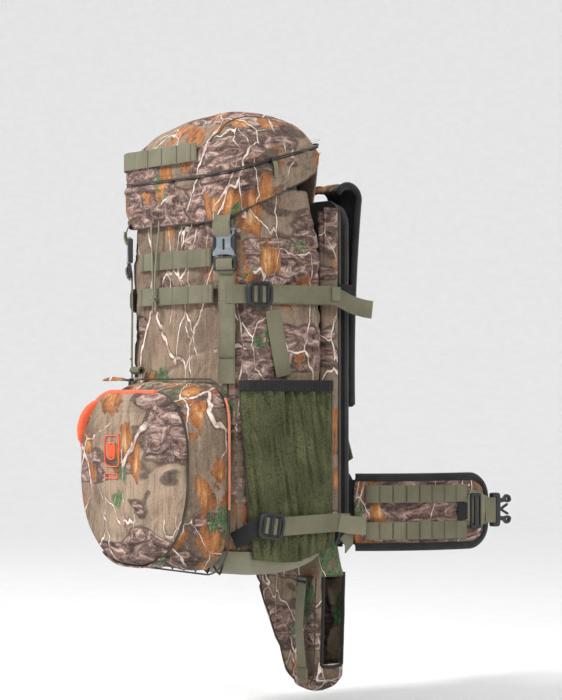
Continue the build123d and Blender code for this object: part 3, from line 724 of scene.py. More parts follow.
def bag_sag(x, y, z, nx, ny):
    """How far the filled cloth stands in (negative) or out from its flat plan."""
    point = (x, y, z)
    side = abs(nx)
    front = max(0.0, -ny)
    depth = -0.0022
    depth += 0.0026 * rough_noise(point, (9, 9, 6), 1.3)
    depth += 0.0015 * rough_noise(point, (30, 30, 11), 7.1)
    fold = rough_noise(point, (14, 14, 5.5), 4.4)
    depth -= 0.0040 * ridge(fold, 6) * (0.45 + 0.55 * gauss(z, 0.33, 0.16))
    crease = rough_noise((x + 0.4 * z, y + 0.4 * z, z - 0.5 * (x + y)), (12, 12, 26), 11.0)
    depth -= 0.0024 * ridge(crease, 6)
    depth -= 0.0042 * side * gauss(z, SIDE_STRAP_Z, 0.017)
    depth -= 0.0030 * side * gauss(z, SIDE_SEAM_Z, 0.0022)
    depth -= 0.0016 * front * gauss(z, 0.345, 0.05)
    corner_seam = abs(abs(nx) - 0.72) < 0.10 and ny < 0
    if corner_seam:
        depth -= 0.0012 * gauss(abs(nx), 0.72, 0.035)
    depth -= 0.010 * max(0.0, (z - 0.47) / 0.05) ** 2 * 0.3
    return depth


def bag_skin():
    columns = plan_columns(96, 54, 22)
    rows = 250
    low = BAG_FOOT
    verts = []
    for row in range(rows):
        z = low + (BAG_TOP - low) * row / (rows - 1)
        half_x, half_y, centre = bag_plan(z)
        tuck = 0.006 * max(0.0, (0.05 - z) / 0.024) ** 2
        for column in columns:
            x, y = plan_point(column, half_x - tuck, half_y - tuck, BAG_RADIUS, centre)
            nx, ny = column[2], column[3]
            sag = bag_sag(x, y, z, nx, ny)
            verts.append((x + nx * sag, y + ny * sag, z))
    count = len(columns)
    skin = piece("bag_cloth", verts, grid_faces(rows, count, True), CAMO_FRONT, "pack")
    # Faces turned sideways and back take the side copy, painted darker as shade.
    skin.data.materials.append(CAMO_SHADED_SIDE)
    for face in skin.data.polygons:
        if abs(face.normal.x) > 0.72 or face.normal.y > 0.5:
            face.material_index = 1
    thicken(skin, 0.002)
    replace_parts(skin, "main_bag")


bag_skin()


def corner_point(turn, z, side, out=0.0):
    """A point round the bag's front corner; turn is 0 facing forwards and pi/2 facing sideways."""
    half_x, half_y, centre = bag_plan(z)
    reach = BAG_RADIUS + out
    x = half_x - BAG_RADIUS + reach * math.sin(turn)
    y = centre - half_y + BAG_RADIUS - reach * math.cos(turn)
    return Vector((side * x, y, z))


# --- Base -------------------------------------------------------------------
def base_cloth():
    columns = plan_columns(60, 34, 12)
    rows = 26
    verts = []
    top_z = 0.034
    half_x, half_y, centre = bag_plan(0.03)
    for row in range(rows):
        t = row / (rows - 1)
        if t < 0.55:
            bend = t / 0.55 * math.pi / 2
            inset = 0.0008 + 0.030 * (1 - math.cos(bend))
            drop = 0.033 * math.sin(bend)
            share = 1.0
        else:
            share = 1 - (t - 0.55) / 0.45
            inset = 0.0308
            drop = 0.033
        for column in columns:
            x, y = plan_point(column, half_x - inset, half_y - inset, BAG_RADIUS, centre)
            x *= share
            y = centre + (y - centre) * share
            lift = 0.010 * max(0.0, (y - centre) / half_y) * (drop / 0.033)
            z = top_z - drop + lift + 0.002 * rough_noise((x, y, 0), (20, 20, 1), 2.0)
            verts.append((x, y, max(z, 0.0005)))
    cloth = piece("base_cloth", verts, grid_faces(rows, len(columns), True), BASE, "pack")
    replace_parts(cloth, "bag_base")


base_cloth()


def base_lacing():
    """Black zig-zag lacing under the front edge of the base."""
    points = []
    count = 17
    for i in range(count):
        x = -0.118 + 0.236 * i / (count - 1)
        low = i % 2
        points.append(Vector((x, BAG_FRONT + (0.004 if low else 0.0), 0.0035 if low else 0.0185)))
    ribbon("base_lacing", smooth_path(points, 3), (0, -0.3, 1), 0.004, 0.0014, BLACK_WEB, "pack")


base_lacing()

# --- Sewing helpers ---------------------------------------------------------
def stitches(name, path, normals, material, body, length=0.0032, gap=0.0018, thick=0.0007):
    """A row of sewn thread dashes lying on a surface along a path."""
    verts, faces = [], []
    travelled = 0.0
    start = 0.0
    index = 0
    lengths = [0.0]
    for a, b in zip(path, path[1:]):
        travelled += (b - a).length
        lengths.append(travelled)

    def at(distance):
        i = min(max(int(np.searchsorted(lengths, distance)) - 1, 0), len(path) - 2)
        span = max(lengths[i + 1] - lengths[i], 1e-9)
        t = (distance - lengths[i]) / span
        return path[i].lerp(path[i + 1], t), Vector(normals[i]).normalized()

    while start + length < travelled:
        a, up = at(start)
        b, _ = at(start + length)
        ahead = (b - a).normalized()
        side = ahead.cross(up).normalized() * thick * 0.55
        lift = up * thick * 0.5
        mid = (a + b) / 2 + up * thick * 0.55
        verts += [a - lift, a + side * 0.2, mid + side, mid - side, b - lift, b + side * 0.2]
        faces += [
            (index, index + 1, index + 2, index + 3), (index + 3, index + 2, index + 5, index + 4)
        ]
        index += 6
        start += length + gap
    return piece(name, verts, faces, material, body, smooth=False)


def looped_webbing(name, path, normals, width, tacks, material, body, rise=0.004, thick=0.0016):
    """Webbing sewn down at its tacks and bulging between them, with a bar tack at each."""
    lengths = [0.0]
    for a, b in zip(path, path[1:]):
        lengths.append(lengths[-1] + (b - a).length)
    total = lengths[-1]
    places = sorted([0.0, *tacks, total])
    lifted, sides = [], []
    for point, up, here in zip(path, normals, lengths):
        k = max(i for i in range(len(places) - 1) if places[i] <= here + 1e-9)
        share = (here - places[k]) / max(places[k + 1] - places[k], 1e-9)
        swell = math.sin(math.pi * min(1, max(0, share))) ** 0.6
        strength = rise * (0.75 + 0.5 * noise.noise(Vector((k * 1.7, width * 90, total * 31))))
        lifted.append(point + Vector(up) * swell * strength)
        ahead = path[
            min(len(path) - 1, lengths.index(here) + 1)
        ] - path[max(0, lengths.index(here) - 1)]
        sides.append(ahead.cross(Vector(up)).normalized())
    parts = [ribbon(name, lifted, sides, width, thick, material, body)]
    for number, tack in enumerate(places):
        i = int(np.searchsorted(lengths, min(max(tack, 0.002), total - 0.002)))
        up = Vector(normals[i])
        ahead = (path[min(i + 1, len(path) - 1)] - path[i - 1]).normalized()
        across = ahead.cross(up).normalized()
        centre = path[i] + up * (thick * 0.5 + 0.0006)
        bar = [centre + across * (width * 0.45 * k / 6) for k in range(-6, 7)]
        parts.append(ribbon(name + "_tack_%d" % number, bar, ahead, 0.0022, 0.0009, THREAD, body))
    return merge(name, parts)


# --- Lid --------------------------------------------------------------------
lid_low, lid_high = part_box("lid_top")
LID_HALF_X = lid_high.x
LID_HALF_Y = (lid_high.y - lid_low.y) / 2
LID_CENTRE = (lid_high.y + lid_low.y) / 2
LID_RADIUS = 0.048
LID_TOP = lid_high.z
DOME_DROP = 0.064
LID_SEAM_X = 0.088
STRIP_Z = 0.5705
HEM_FRONT = 0.475
HEM_SLOPE = math.tan(math.radians(24))
ZIP_FRONT = 0.537
ZIP_SLOPE = math.tan(math.radians(16))


def lid_plan(column):
    return plan_point(column, LID_HALF_X, LID_HALF_Y, LID_RADIUS, LID_CENTRE)


def hem_z(y):
    return HEM_FRONT + (y - lid_low.y) * HEM_SLOPE


def zip_z(y):
    return ZIP_FRONT + (y - lid_low.y) * ZIP_SLOPE


def lid_wall(column, z, out=0.0):
    """A point on the lid's upright wall, with the slack of its cloth."""
    nx, ny = column[2], column[3]
    x, y = lid_plan(column)
    point = (x, y, z)
    over_zip = z - zip_z(y)
    sag = -0.0006
    sag += 0.0042 * rough_noise(point, (11, 11, 9), 2.2)
    sag += 0.0014 * rough_noise(point, (34, 34, 18), 5.0)
    fold = rough_noise((x + z * 0.5, y + z * 0.5, z), (20, 20, 4), 9.4)
    if over_zip < 0:
        sag -= 0.0045 * ridge(fold, 5)
        sag -= 0.0035 * min(1.0, max(0.0, (hem_z(y) + 0.012 - z) / 0.012))
    sag -= 0.0022 * gauss(over_zip, 0.0, 0.006)
    sag += 0.0022 * gauss(over_zip, -0.009, 0.004)
    return Vector((x + nx * (sag + out), y + ny * (sag + out), z))


def lid_dome(column, share):
    """A point on the dome; share runs from 1 at its rim to 0 at its crown."""
    a, b, nx, ny = column
    lean = nx * math.sin(math.radians(35)) + ny * math.cos(math.radians(35))
    power = 3.1 + 0.85 * lean
    half_x, half_y = LID_HALF_X * share, LID_HALF_Y * share
    radius = LID_RADIUS * (0.4 + 0.6 * share) if share > 0.4 else LID_RADIUS * 1.6 * share
    x, y = plan_point(column, half_x, half_y, min(radius, half_y), LID_CENTRE)
    z = LID_TOP - 0.002 - DOME_DROP * share**power
    point = (x, y, z)
    edge = min(1.0, (1 - share) * 8)
    z += edge * (
        0.0040 * rough_noise(
            point, (12, 12, 12), 6.1
        ) + 0.0018 * rough_noise(point, (38, 30, 30), 3.3) - 0.002
    )
    crease = rough_noise((x, y, 0.0), (9, 26, 1), 8.8)
    z -= edge * 0.0042 * ridge(crease, 6)
    z -= edge * 0.0030 * gauss(abs(x), LID_SEAM_X, 0.0035)
    inward = -0.0006 * min(1.0, share)
    return Vector((x + nx * inward, y + ny * inward, z))


def lid_cloth():
    columns = plan_columns(100, 56, 22)
    count = len(columns)
    verts = []
    skirt_rows, dome_rows = 54, 44
    rim = LID_TOP - 0.002 - DOME_DROP
    for row in range(skirt_rows):
        t = row / (skirt_rows - 1)
        for column in columns:
            _, y = lid_plan(column)
            low = hem_z(y)
            verts.append(lid_wall(column, low + (rim - low) * t))
    for row in range(1, dome_rows):
        share = 1 - row / (dome_rows - 1) * 0.985
        for column in columns:
            verts.append(lid_dome(column, share))
    cap = len(verts)
    faces = grid_faces(skirt_rows + dome_rows - 1, count, True)
    crown = Vector((0, LID_CENTRE, LID_TOP - 0.003))
    verts.append(crown)
    last = (skirt_rows + dome_rows - 2) * count
    faces += cap_faces(last, count, cap)
    skin = piece("lid_cloth", verts, faces, CAMO_LID, "lid")
    # The skirt below the zip, except at its front, takes the side copy, painted darker as shade.
    skin.data.materials.append(CAMO_SHADED_SIDE)
    for face in skin.data.polygons:
        centre = face.center
        if centre.z < zip_z(centre.y) and centre.y > -0.150:
            face.material_index = 1
    thicken(skin, CLOTH_THICK)
    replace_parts(skin, "lid_top", "lid_skirt")


lid_cloth()


def lid_ring(z_of, out, columns=None):
    columns = columns or plan_columns(80, 44, 16)
    points = []
    for column in columns:
        _, y = lid_plan(column)
        points.append(lid_wall(column, z_of(y), out))
    return points


tube(
    "lid_hem_binding", lid_ring(lambda y: hem_z(y) + 0.001, -0.0012), 0.0016, SEAM_DARK, "lid",
    closed=True
)
tube(
    "lid_zip_welt", lid_ring(lambda y: zip_z(y) + 0.0012, 0.0004), 0.0013, SEAM_DARK, "lid",
    closed=True
)
under = tube(
    "lid_zip_coil", lid_ring(lambda y: zip_z(y) - 0.0020, -0.0004), 0.0011, BLACK_WEB, "lid",
    closed=True
)
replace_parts(under, "lid_zip")
ring_columns = plan_columns(80, 44, 16)
ring_normals = [Vector((c[2], c[3], 0)) for c in ring_columns]
for label, lift in (("upper", 0.0075), ("lower", -0.0105)):
    ring = lid_ring(lambda y: zip_z(y) + lift, 0.0003, ring_columns)
    stitches("lid_zip_stitch_" + label, ring, ring_normals, THREAD, "lid")

# The dome's side seams run from front to back.
lid_tree = BVHTree.FromObject(bpy.data.objects["lid_cloth"], bpy.context.evaluated_depsgraph_get())
for side, label in SIDES:
    seam = []
    for k in range(60):
        y = lid_low.y + 0.010 + (2 * LID_HALF_Y - 0.026) * k / 59
        hit = lid_tree.ray_cast(
            Vector((side * LID_SEAM_X, y, LID_TOP + 0.1)), Vector((0, 0, -1))
        )[0]
        if hit:
            seam.append(hit + Vector((0, 0, 0.0004)))
    tube("lid_seam_" + label, seam, 0.0013, SEAM_DARK, "lid")


def lid_strip_path():
    """Along the lid's front from its right part, round the left corner and a little way back."""
    path, normals = [], []
    z = STRIP_Z
    for k in range(58):
        x = 0.072 - (0.072 + LID_HALF_X - LID_RADIUS) * k / 57
        path.append(Vector((x, lid_low.y - 0.0014, z)))
        normals.append(Vector((0, -1, 0)))
    for k in range(1, 25):
        turn = math.pi / 2 * k / 24
        out = LID_RADIUS + 0.0014
        path.append(
            Vector(
                (
                    -(LID_HALF_X - LID_RADIUS) - out * math.sin(turn),
                    lid_low.y + LID_RADIUS - out * math.cos(turn),
                    z,
                )
            )
        )
        normals.append(Vector((-math.sin(turn), -math.cos(turn), 0)))
    return path, normals


strip_path, strip_normals = lid_strip_path()
strip = looped_webbing(
    "lid_loops", strip_path, strip_normals, 0.025,
    [0.012, 0.048, 0.085, 0.121, 0.157, 0.190, 0.222], OLIVE, "lid", rise=0.0032,
)
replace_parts(strip, "lid_molle")

# Zip slider of the lid with its woven pull, behind the right corner.
slide_low, slide_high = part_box("lid_zip_slider")
slide_mid = (slide_low + slide_high) / 2
slide_frame = axes(
    (slide_low.x + 0.0022, slide_mid.y, slide_high.z - 0.005), (0, 1, 0.25), (1, 0, 0)
)
body_plate = moulded(
    "lid_slider_body",
    [rounded([(-0.005, -0.0045), (0.005, -0.0035), (0.005, 0.0035), (-0.005, 0.0045)], 0.0015)],
    0.003, slide_frame, PLASTIC, "lid_slider",
)
pull = ribbon(
    "lid_slider_pull",
    smooth_path([
        (slide_low.x + 0.0035, slide_mid.y, slide_high.z - 0.006),
        (slide_low.x + 0.0048, slide_mid.y + 0.001, slide_high.z - 0.014),
        (slide_low.x + 0.0040, slide_mid.y + 0.003, slide_low.z + 0.001),
    ], 8),
    (0, 1, 0.1), 0.007, WEB_THICK, OLIVE_LIGHT, "lid_slider",
)
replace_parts(merge("lid_slider", [body_plate, pull]), "lid_zip_slider")


def collar():
    """The gathered collar under the lid, closed by a cord in its hem."""
    low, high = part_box("collar")
    columns = plan_columns(84, 50, 18)
    rows = 24
    verts = []
    half_y = (high.y - low.y) / 2 - 0.001
    centre = (high.y + low.y) / 2
    for row in range(rows):
        t = row / (rows - 1)
        z = low.z + (high.z - low.z) * t
        for i, column in enumerate(columns):
            gather = 0.0032 * math.sin(i * 0.9) * t + 0.003 * rough_noise(
                (i * 0.3, t * 3, 0), (1, 1, 1), 1.0
            ) * t
            draw = 0.010 * t * t
            nx, ny = column[2], column[3]
            x, y = plan_point(column, high.x - 0.001 - draw, half_y - draw, 0.04, centre)
            verts.append((x + nx * (gather - 0.002), y + ny * (gather - 0.002), z))
    cloth = piece("collar_cloth", verts, grid_faces(rows, len(columns), True), LINING, "pack")
    thicken(cloth, 0.0012)
    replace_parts(cloth, "collar")
    rim = [Vector(v) for v in verts[(rows - 1) * len(columns):]]
    tube(
        "collar_hem", [p - Vector((0, 0, 0.002)) for p in rim], 0.0022, LINING, "pack", closed=True,
        sides=6
    )


collar()


def lid_back_panel():
    """Cloth from the lid's back edge to the bag's top edge."""
    verts = []
    columns, rows = 60, 24
    for row in range(rows):
        t = row / (rows - 1)
        for k in range(columns):
            x = -0.112 + 0.224 * k / (columns - 1)
            z = 0.505 + 0.068 * t
            y = BAG_BACK - 0.0135 + 0.0095 * t
            y += 0.0012 * rough_noise((x, 0, z), (40, 1, 25), 3.0)
            verts.append((x, min(y, lid_high.y - 0.001), z))
    # It takes the side copy of the camo, painted darker as shade.
    flap = piece("lid_back_panel", verts, grid_faces(rows, columns, False), CAMO_SHADED_SIDE, None)
    thicken(flap, FLAP_THICK)
    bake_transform(flap)


lid_back_panel()
refinish("lid_floor", LINING)

# --- Front straps and buckles -----------------------------------------------
STRAP_TURN = math.radians(28)


def corner_frame(side, z, out):
    """A matrix at the front corner strap: x across the strap, y up, z outwards."""
    origin = corner_point(STRAP_TURN, z, side, out)
    outward = Vector((side * math.sin(STRAP_TURN), -math.cos(STRAP_TURN), 0))
    along = Vector((math.cos(STRAP_TURN), side * math.sin(STRAP_TURN), 0))
    return axes(origin, along, outward)


def corner_strap_path(side, points, per=8):
    return smooth_path([corner_point(STRAP_TURN, z, side, out) for z, out in points], per)


def buckle_face(side, label):
    """The lid buckle: a dished cross-shaped socket with open sides, and its two-pronged plug."""
    lift = 0.0072
    frame_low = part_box("lid_buckle_socket_" + label)[0].z
    middle = frame_low + 0.019
    shell = rounded(
        [
            (
                -0.0165, -0.0190
            ), (-0.0060, -0.0165), (0.0060, -0.0165), (0.0165, -0.0190), (0.0165, -0.0135),
            (
                0.0108, -0.0060
            ), (0.0108, 0.0060), (0.0165, 0.0115), (0.0165, 0.0190), (-0.0165, 0.0190),
            (-0.0165, 0.0115), (-0.0108, 0.0060), (-0.0108, -0.0060), (-0.0165, -0.0135),
        ],
        0.0022,
    )
    slot = rectangle(0.0034, 0.0150, 0, -0.003, 0.0015)
    top_bar = rectangle(0.0250, 0.0042, 0, 0.0128, 0.0012)
    # The socket's face is black plastic painted grey as a highlight.
    face = moulded(
        "socket_face_" + label, [
            shell, slot, top_bar
        ], 0.0050, corner_frame(side, middle, lift), PLASTIC_HIGHLIGHT, "lid",
    )
    inner = moulded(
        "socket_inner_" + label,
        [rectangle(0.0300, 0.0340, 0, 0, 0.004)],
        0.0030, corner_frame(side, middle, lift - 0.0034), PLASTIC, "lid", bevel=0.0008,
    )
    rails = [
        moulded(
            "socket_rail_%s_%d" % (label, turn),
            [
                rounded(
                    [
                        (turn * 0.0168, -0.017), (turn * 0.0140, -0.017), (turn * 0.0118, 0.0),
                        (turn * 0.0140, 0.017), (turn * 0.0168, 0.017)
                    ],
                    0.001
                )
            ],
            0.0060, corner_frame(side, middle, lift - 0.0010), PLASTIC, "lid",
        )
        for turn in (1, -1)
    ]
    socket = merge("lid_socket_" + label, [face, inner, *rails])
    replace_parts(socket, "lid_buckle_socket_" + label)
    plug_mid = (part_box("lid_buckle_plug_" + label)[0].z + frame_low) / 2
    bar = moulded(
        "plug_base_" + label,
        [
            rectangle(0.034, 0.0190, 0, 0, 0.003), rectangle(0.026, 0.0038, 0, -0.0052, 0.001),
            rectangle(0.026, 0.0038, 0, 0.0022, 0.001)
        ],
        0.0052, corner_frame(side, plug_mid, lift - 0.001), PLASTIC, "lid_plug_" + label,
    )
    prongs = [
        moulded(
            "plug_prong_%s_%d" % (label, turn),
            [
                rounded(
                    [
                        (turn * 0.0060, -0.012), (turn * 0.0105, -0.012), (turn * 0.0155, 0.004),
                        (turn * 0.0130, 0.014), (turn * 0.0100, 0.013), (turn * 0.0110, 0.003)
                    ],
                    0.0015
                )
            ],
            0.0034, corner_frame(
                side, frame_low + 0.012, lift - 0.0006
            ), PLASTIC, "lid_plug_" + label,
        )
        for turn in (1, -1)
    ]
    plug = merge("lid_plug_" + label, [bar, *prongs])
    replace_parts(plug, "lid_buckle_plug_" + label)


for side, label in SIDES:
    across = corner_frame(side, 0.4, 0).col[0].to_3d()
    buckle_face(side, label)
    drop = ribbon(
        "lid_strap_cloth_" + label,
        corner_strap_path(
            side,
            [(0.4860, 0.0070), (0.480, 0.0098), (0.470, 0.0125), (0.458, 0.0108), (0.4545, 0.0085)]
        ),
        across, WEB_WIDTH, WEB_THICK, OLIVE, "lid",
    )
    turn_back = ribbon(
        "lid_strap_return_" + label,
        corner_strap_path(
            side, [(0.4545, 0.0100), (0.460, 0.0128), (0.466, 0.0146), (0.473, 0.0148)]
        ),
        across, WEB_WIDTH, 0.0015, OLIVE, "lid",
    )
    strap = merge("lid_strap_webbing_" + label, [drop, turn_back])
    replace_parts(strap, "lid_strap_" + label)
    plug_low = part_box("lid_buckle_plug_" + label)[0].z
    # The lower strap folds over the plug's bars and shows as a band across it.
    ribbon(
        "plug_band_" + label,
        corner_strap_path(
            side,
            [
                (plug_low + 0.0175, 0.0055), (plug_low + 0.0155, 0.0098),
                (plug_low + 0.0080, 0.0102), (plug_low + 0.0020, 0.0078),
                (plug_low - 0.0025, 0.0048)
            ],
            6
        ),
        across, LOOP_WIDTH, 0.0015, OLIVE, "lid_plug_" + label,
    )

corner_runs = []
for side, label in SIDES:
    across = corner_frame(side, 0.4, 0).col[0].to_3d()
    corner_runs.append(
        ribbon(
            "corner_run_" + label,
            corner_strap_path(
                side,
                [
                    (0.425, 0.0048), (0.412, 0.0024), (0.395, 0.0020), (0.35, 0.0016),
                    (0.30, 0.0022), (0.258, 0.0016)
                ]
            ),
            across, WEB_WIDTH, WEB_THICK, OLIVE, "pack",
        )
    )
    seam_bar = [
        corner_point(STRAP_TURN, 0.293, side, 0.0036) + across * (0.0115 * k / 6)
        for k in range(-6, 7)
    ]
    corner_runs.append(
        ribbon("corner_bar_" + label, seam_bar, (0, 0, 1), 0.003, 0.0012, THREAD, "pack")
    )
    for share in (-1, 1):
        path = [
            p + across * share * 0.0108
            for p in corner_strap_path(
                side, [(0.400, 0.0030), (0.35, 0.0026), (0.30, 0.0032), (0.262, 0.0026)]
            )
        ]
        up = Vector((side * math.sin(STRAP_TURN), -math.cos(STRAP_TURN), 0))
        corner_runs.append(
            stitches("corner_stitch_%s_%d" % (label, share), path, [up] * len(path), THREAD, "pack")
        )
corner_webbing = merge("corner_webbing", corner_runs)
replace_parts(corner_webbing, "corner_straps")


def front_row(name, z, half, tacks):
    path = [Vector((-half + 2 * half * k / 90, BAG_FRONT - 0.0006, z)) for k in range(91)]
    normals = [Vector((0, -1, 0))] * 91
    return looped_webbing(name, path, normals, LOOP_WIDTH, tacks, OLIVE, "pack", rise=0.0034)


rows = merge(
    "front_rows",
    [
        front_row("front_row_upper", 0.4275, 0.092, [0.010, 0.048, 0.086, 0.124, 0.160, 0.176]),
        front_row("front_row_lower", 0.3785, 0.096, [0.010, 0.050, 0.090, 0.130, 0.168, 0.184]),
    ],
)
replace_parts(rows, "front_molle_rows")

# --- Drawcord ---------------------------------------------------------------
CORD_WIDTH = 0.003
CORD_ROUTES = {
    "left": [
        (-58, -234.8, 502), (-57, -235.4, 470), (-52, -237.0, 440), (-48, -238.6, 408),
        (-46, -239, 381)
    ],
    "right": [
        (-36, -234.8, 502), (-36, -235.4, 472), (-40, -237.2, 438), (-42, -238.6, 409),
        (-42, -239, 381)
    ],
}


def knot():
    """An overhand knot in the paired cord with its two frayed tails."""
    centre = Vector((-0.044, -0.239, 0.3745))
    loop = []
    for k in range(40):
        t = 2 * math.pi * k / 40
        loop.append(
            centre
            + Vector(
                (
                    0.0030 * (math.sin(t) + 0.7 * math.sin(2 * t)), -0.0022 * math.sin(3 * t),
                    0.0034 * (math.cos(t) - 0.7 * math.cos(2 * t))
                )
            )
        )
    parts = [tube("knot_turns", loop, CORD_WIDTH * 0.48, CORD_FINISH, "pack", closed=True)]
    for number, (x, y, z) in enumerate(((-0.0470, -0.2388, 0.3545), (-0.0405, -0.2385, 0.3560))):
        tail = smooth_path([centre, (x, y, z + 0.011), (x - 0.0006, y + 0.0006, z)], 8)
        parts.append(tube("knot_tail_%d" % number, tail, CORD_WIDTH * 0.45, CORD_FINISH, "pack"))
    tied = merge("drawcord_tie", parts)
    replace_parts(tied, "drawcord_knot")
    return tied


tie = knot()
for label, route in CORD_ROUTES.items():
    curve = bpy.data.curves.new("drawcord_" + label, "CURVE")
    curve.dimensions = "3D"
    curve.bevel_depth = CORD_WIDTH / 2
    curve.bevel_resolution = 3
    curve.resolution_u = 10
    spline = curve.splines.new("NURBS")
    spline.points.add(len(route) - 1)
    for point, place in zip(spline.points, route):
        point.co = (place[0] * MM, place[1] * MM, place[2] * MM, 1)
    spline.order_u = 3
    spline.use_endpoint_u = True
    strand = bpy.data.objects.new("cord_" + label, curve)
    bpy.context.scene.collection.objects.link(strand)
    curve.materials.append(CORD_FINISH)
    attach(strand, "pack")
    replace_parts(strand, "drawcord_" + label)

# --- Side straps and their ladder locks -------------------------------------
LOCK_WIDTH, LOCK_HEIGHT = 0.0400, 0.0350


def ladder_lock(name, centre, side, body, tilt=0.0):
    """A round-cornered lock: a dished rim, two slots and a middle bar."""
    along = Vector((0, math.cos(tilt), math.sin(tilt)))
    outward = Vector((side, 0, 0))
    place = axes(centre, along, outward)
    w, h = LOCK_WIDTH / 2, LOCK_HEIGHT / 2
    corners = [
        (-w, -h * 0.62), (-w * 0.72, -h), (w * 0.72, -h), (w, -h * 0.62),
        (w, h * 0.62), (w * 0.72, h), (-w * 0.72, h), (-w, h * 0.62),
    ]
    outer = rounded(corners, 0.004)
    slot_height = LOCK_HEIGHT * 0.68
    left = rectangle(0.0062, slot_height, -0.0068, 0, 0.0018)
    right = rectangle(0.0062, slot_height, 0.0068, 0, 0.0018)
    plate = moulded(
        name + "_plate", [outer, left, right], 0.0042, place, PLASTIC, body, bevel=0.0010
    )
    inner_rim = rounded([(x * 0.80, y * 0.80) for x, y in corners], 0.0035)
    rim_place = place @ Matrix.Translation((0, 0, 0.0016))
    rim = moulded(name + "_rim", [outer, inner_rim], 0.0052, rim_place, PLASTIC, body, bevel=0.0012)
    bars = []
    for x in (-0.0128, 0.0, 0.0128):
        low = place @ Vector((x, -h * 0.72, 0.0022))
        high = place @ Vector((x, h * 0.72, 0.0022))
        bars.append(
            tube(
                name + "_bar_%d" % round(x * 1e4), straight(low, high, 6), 0.0017, PLASTIC, body,
                sides=10
            )
        )
    lock = merge(name, [plate, rim, *bars])
    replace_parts(lock, body)
    for x in (-0.0068, 0.0068):
        low = place @ Vector((x, -slot_height * 0.46, 0.0012))
        high = place @ Vector((x, slot_height * 0.46, 0.0012))
        ribbon(
            name + "_turn_%d" % round(x * 1e4), straight(low, high, 4), along, 0.0056, 0.0022,
            OLIVE, body
        )


# Each pair of locks: its level, distance from the middle, y and tilt.
LOCKS = (("upper", 0.1487, -0.193, 0.0), ("lower", 0.1658, -0.186, math.radians(-9)))
for side, label in SIDES:
    for level, x, y, tilt in LOCKS:
        low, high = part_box(level + "_lock_" + label)
        centre = Vector((side * x, y, (low.z + high.z) / 2))
        ladder_lock(level + "_lock_body_" + label, centre, side, level + "_lock_" + label, tilt)


def side_strap(name, side, points, width, material, twist=0.0):
    """Webbing along the bag's side; the points are those of the right side."""
    path = smooth_path([(side * x, y, z) for x, y, z in points])
    return ribbon(name, path, (0, twist, 1), width, WEB_THICK, material, "pack")


def stitch_box(name, side, y, z, x, wide, tall):
    """A sewn box with a cross in it, on the bag's side."""
    corners = [
        (y - wide / 2, z - tall / 2), (y + wide / 2, z - tall / 2), (y + wide / 2, z + tall / 2),
        (y - wide / 2, z + tall / 2)
    ]
    lines = [
        (corners[k], corners[(k + 1) % 4])
        for k in range(4)
    ] + [(corners[0], corners[2]), (corners[1], corners[3])]
    parts = []
    for number, (a, b) in enumerate(lines):
        path = [
            Vector((side * x, a[0] + (b[0] - a[0]) * k / 8, a[1] + (b[1] - a[1]) * k / 8))
            for k in range(9)
        ]
        parts.append(
            stitches(
                "%s_%d" % (name, number), path, [Vector((side, 0, 0))] * 9, THREAD, "pack", 0.0024,
                0.0012, 0.0006
            )
        )
    return merge(name, parts)


# Side webbing: name, points of the right side (x, y and height over its line), width, finish.
UPPER_WEBS = (
    (
        "upper_run_",
        (
            (0.1478, -0.186, 0), (0.1466, -0.172, 0), (0.1462, -0.14, 0), (0.1462, -0.10, 0),
            (0.1464, -0.066, 0)
        ),
        WEB_WIDTH, OLIVE
    ),
    (
        "upper_second_",
        (
            (0.1500, -0.180, 0.001), (0.1486, -0.166, 0.0012), (0.1484, -0.12, 0.0008),
            (0.1484, -0.074, 0.0012)
        ),
        LOOP_WIDTH, OLIVE
    ),
    (
        "upper_tail_",
        (
            (0.1484, -0.074, 0.001), (0.1490, -0.058, -0.004), (0.1482, -0.040, -0.011),
            (0.1476, -0.020, -0.0155), (0.1482, -0.005, -0.0175)
        ),
        LOOP_WIDTH, OLIVE
    ),
    (
        "upper_patch_",
        ((0.1466, -0.060, 0.007), (0.1474, -0.050, 0.007), (0.1466, -0.037, 0.0065)), 0.019,
        BLACK_WEB
    ),
    (
        "upper_keeper_",
        ((0.1507, -0.075, 0.003), (0.1512, -0.068, 0.003), (0.1507, -0.061, 0.003)), 0.019,
        OLIVE_LIGHT
    ),
    (
        "upper_anchor_",
        ((0.1460, -0.196, 0), (0.1425, -0.208, 0), (0.1340, -0.2205, 0), (0.1230, -0.2285, 0)),
        WEB_WIDTH, OLIVE
    ),
)
LOWER_WEBS = (
    (
        "lower_run_",
        (
            (0.1650, -0.176, 0), (0.1638, -0.16, -0.001), (0.1634, -0.12, 0),
            (0.1636, -0.08, 0.001), (0.1636, -0.055, 0)
        ),
        WEB_WIDTH, OLIVE
    ),
    (
        "lower_tail_",
        (
            (0.1652, -0.074, 0.001), (0.1662, -0.060, -0.002), (0.1648, -0.045, -0.004),
            (0.1644, -0.028, -0.005)
        ),
        LOOP_WIDTH, OLIVE_LIGHT
    ),
    (
        "lower_anchor_",
        (
            (0.1640, -0.196, 0.001), (0.1585, -0.208, -0.004), (0.1480, -0.2170, -0.012),
            (0.1330, -0.2240, -0.020)
        ),
        0.023, BLACK_WEB
    ),
    (
        "lower_leg_",
        ((0.1600, -0.060, -0.013), (0.1575, -0.052, -0.022), (0.1500, -0.046, -0.036)), 0.024, OLIVE
    ),
)
LEG_TWIST = 0.5
DIAGONAL = ((0.1464, -0.1695, 0.356), (0.1462, -0.163, 0.322), (0.1464, -0.1515, 0.268))


def side_webs(webs, line_z, side, label):
    return [
        side_strap(
            name + label, side, [(x, y, line_z + z) for x, y, z in points], width, finish,
            LEG_TWIST if name == "lower_leg_" else 0.0
        )
        for name, points, width, finish in webs
    ]


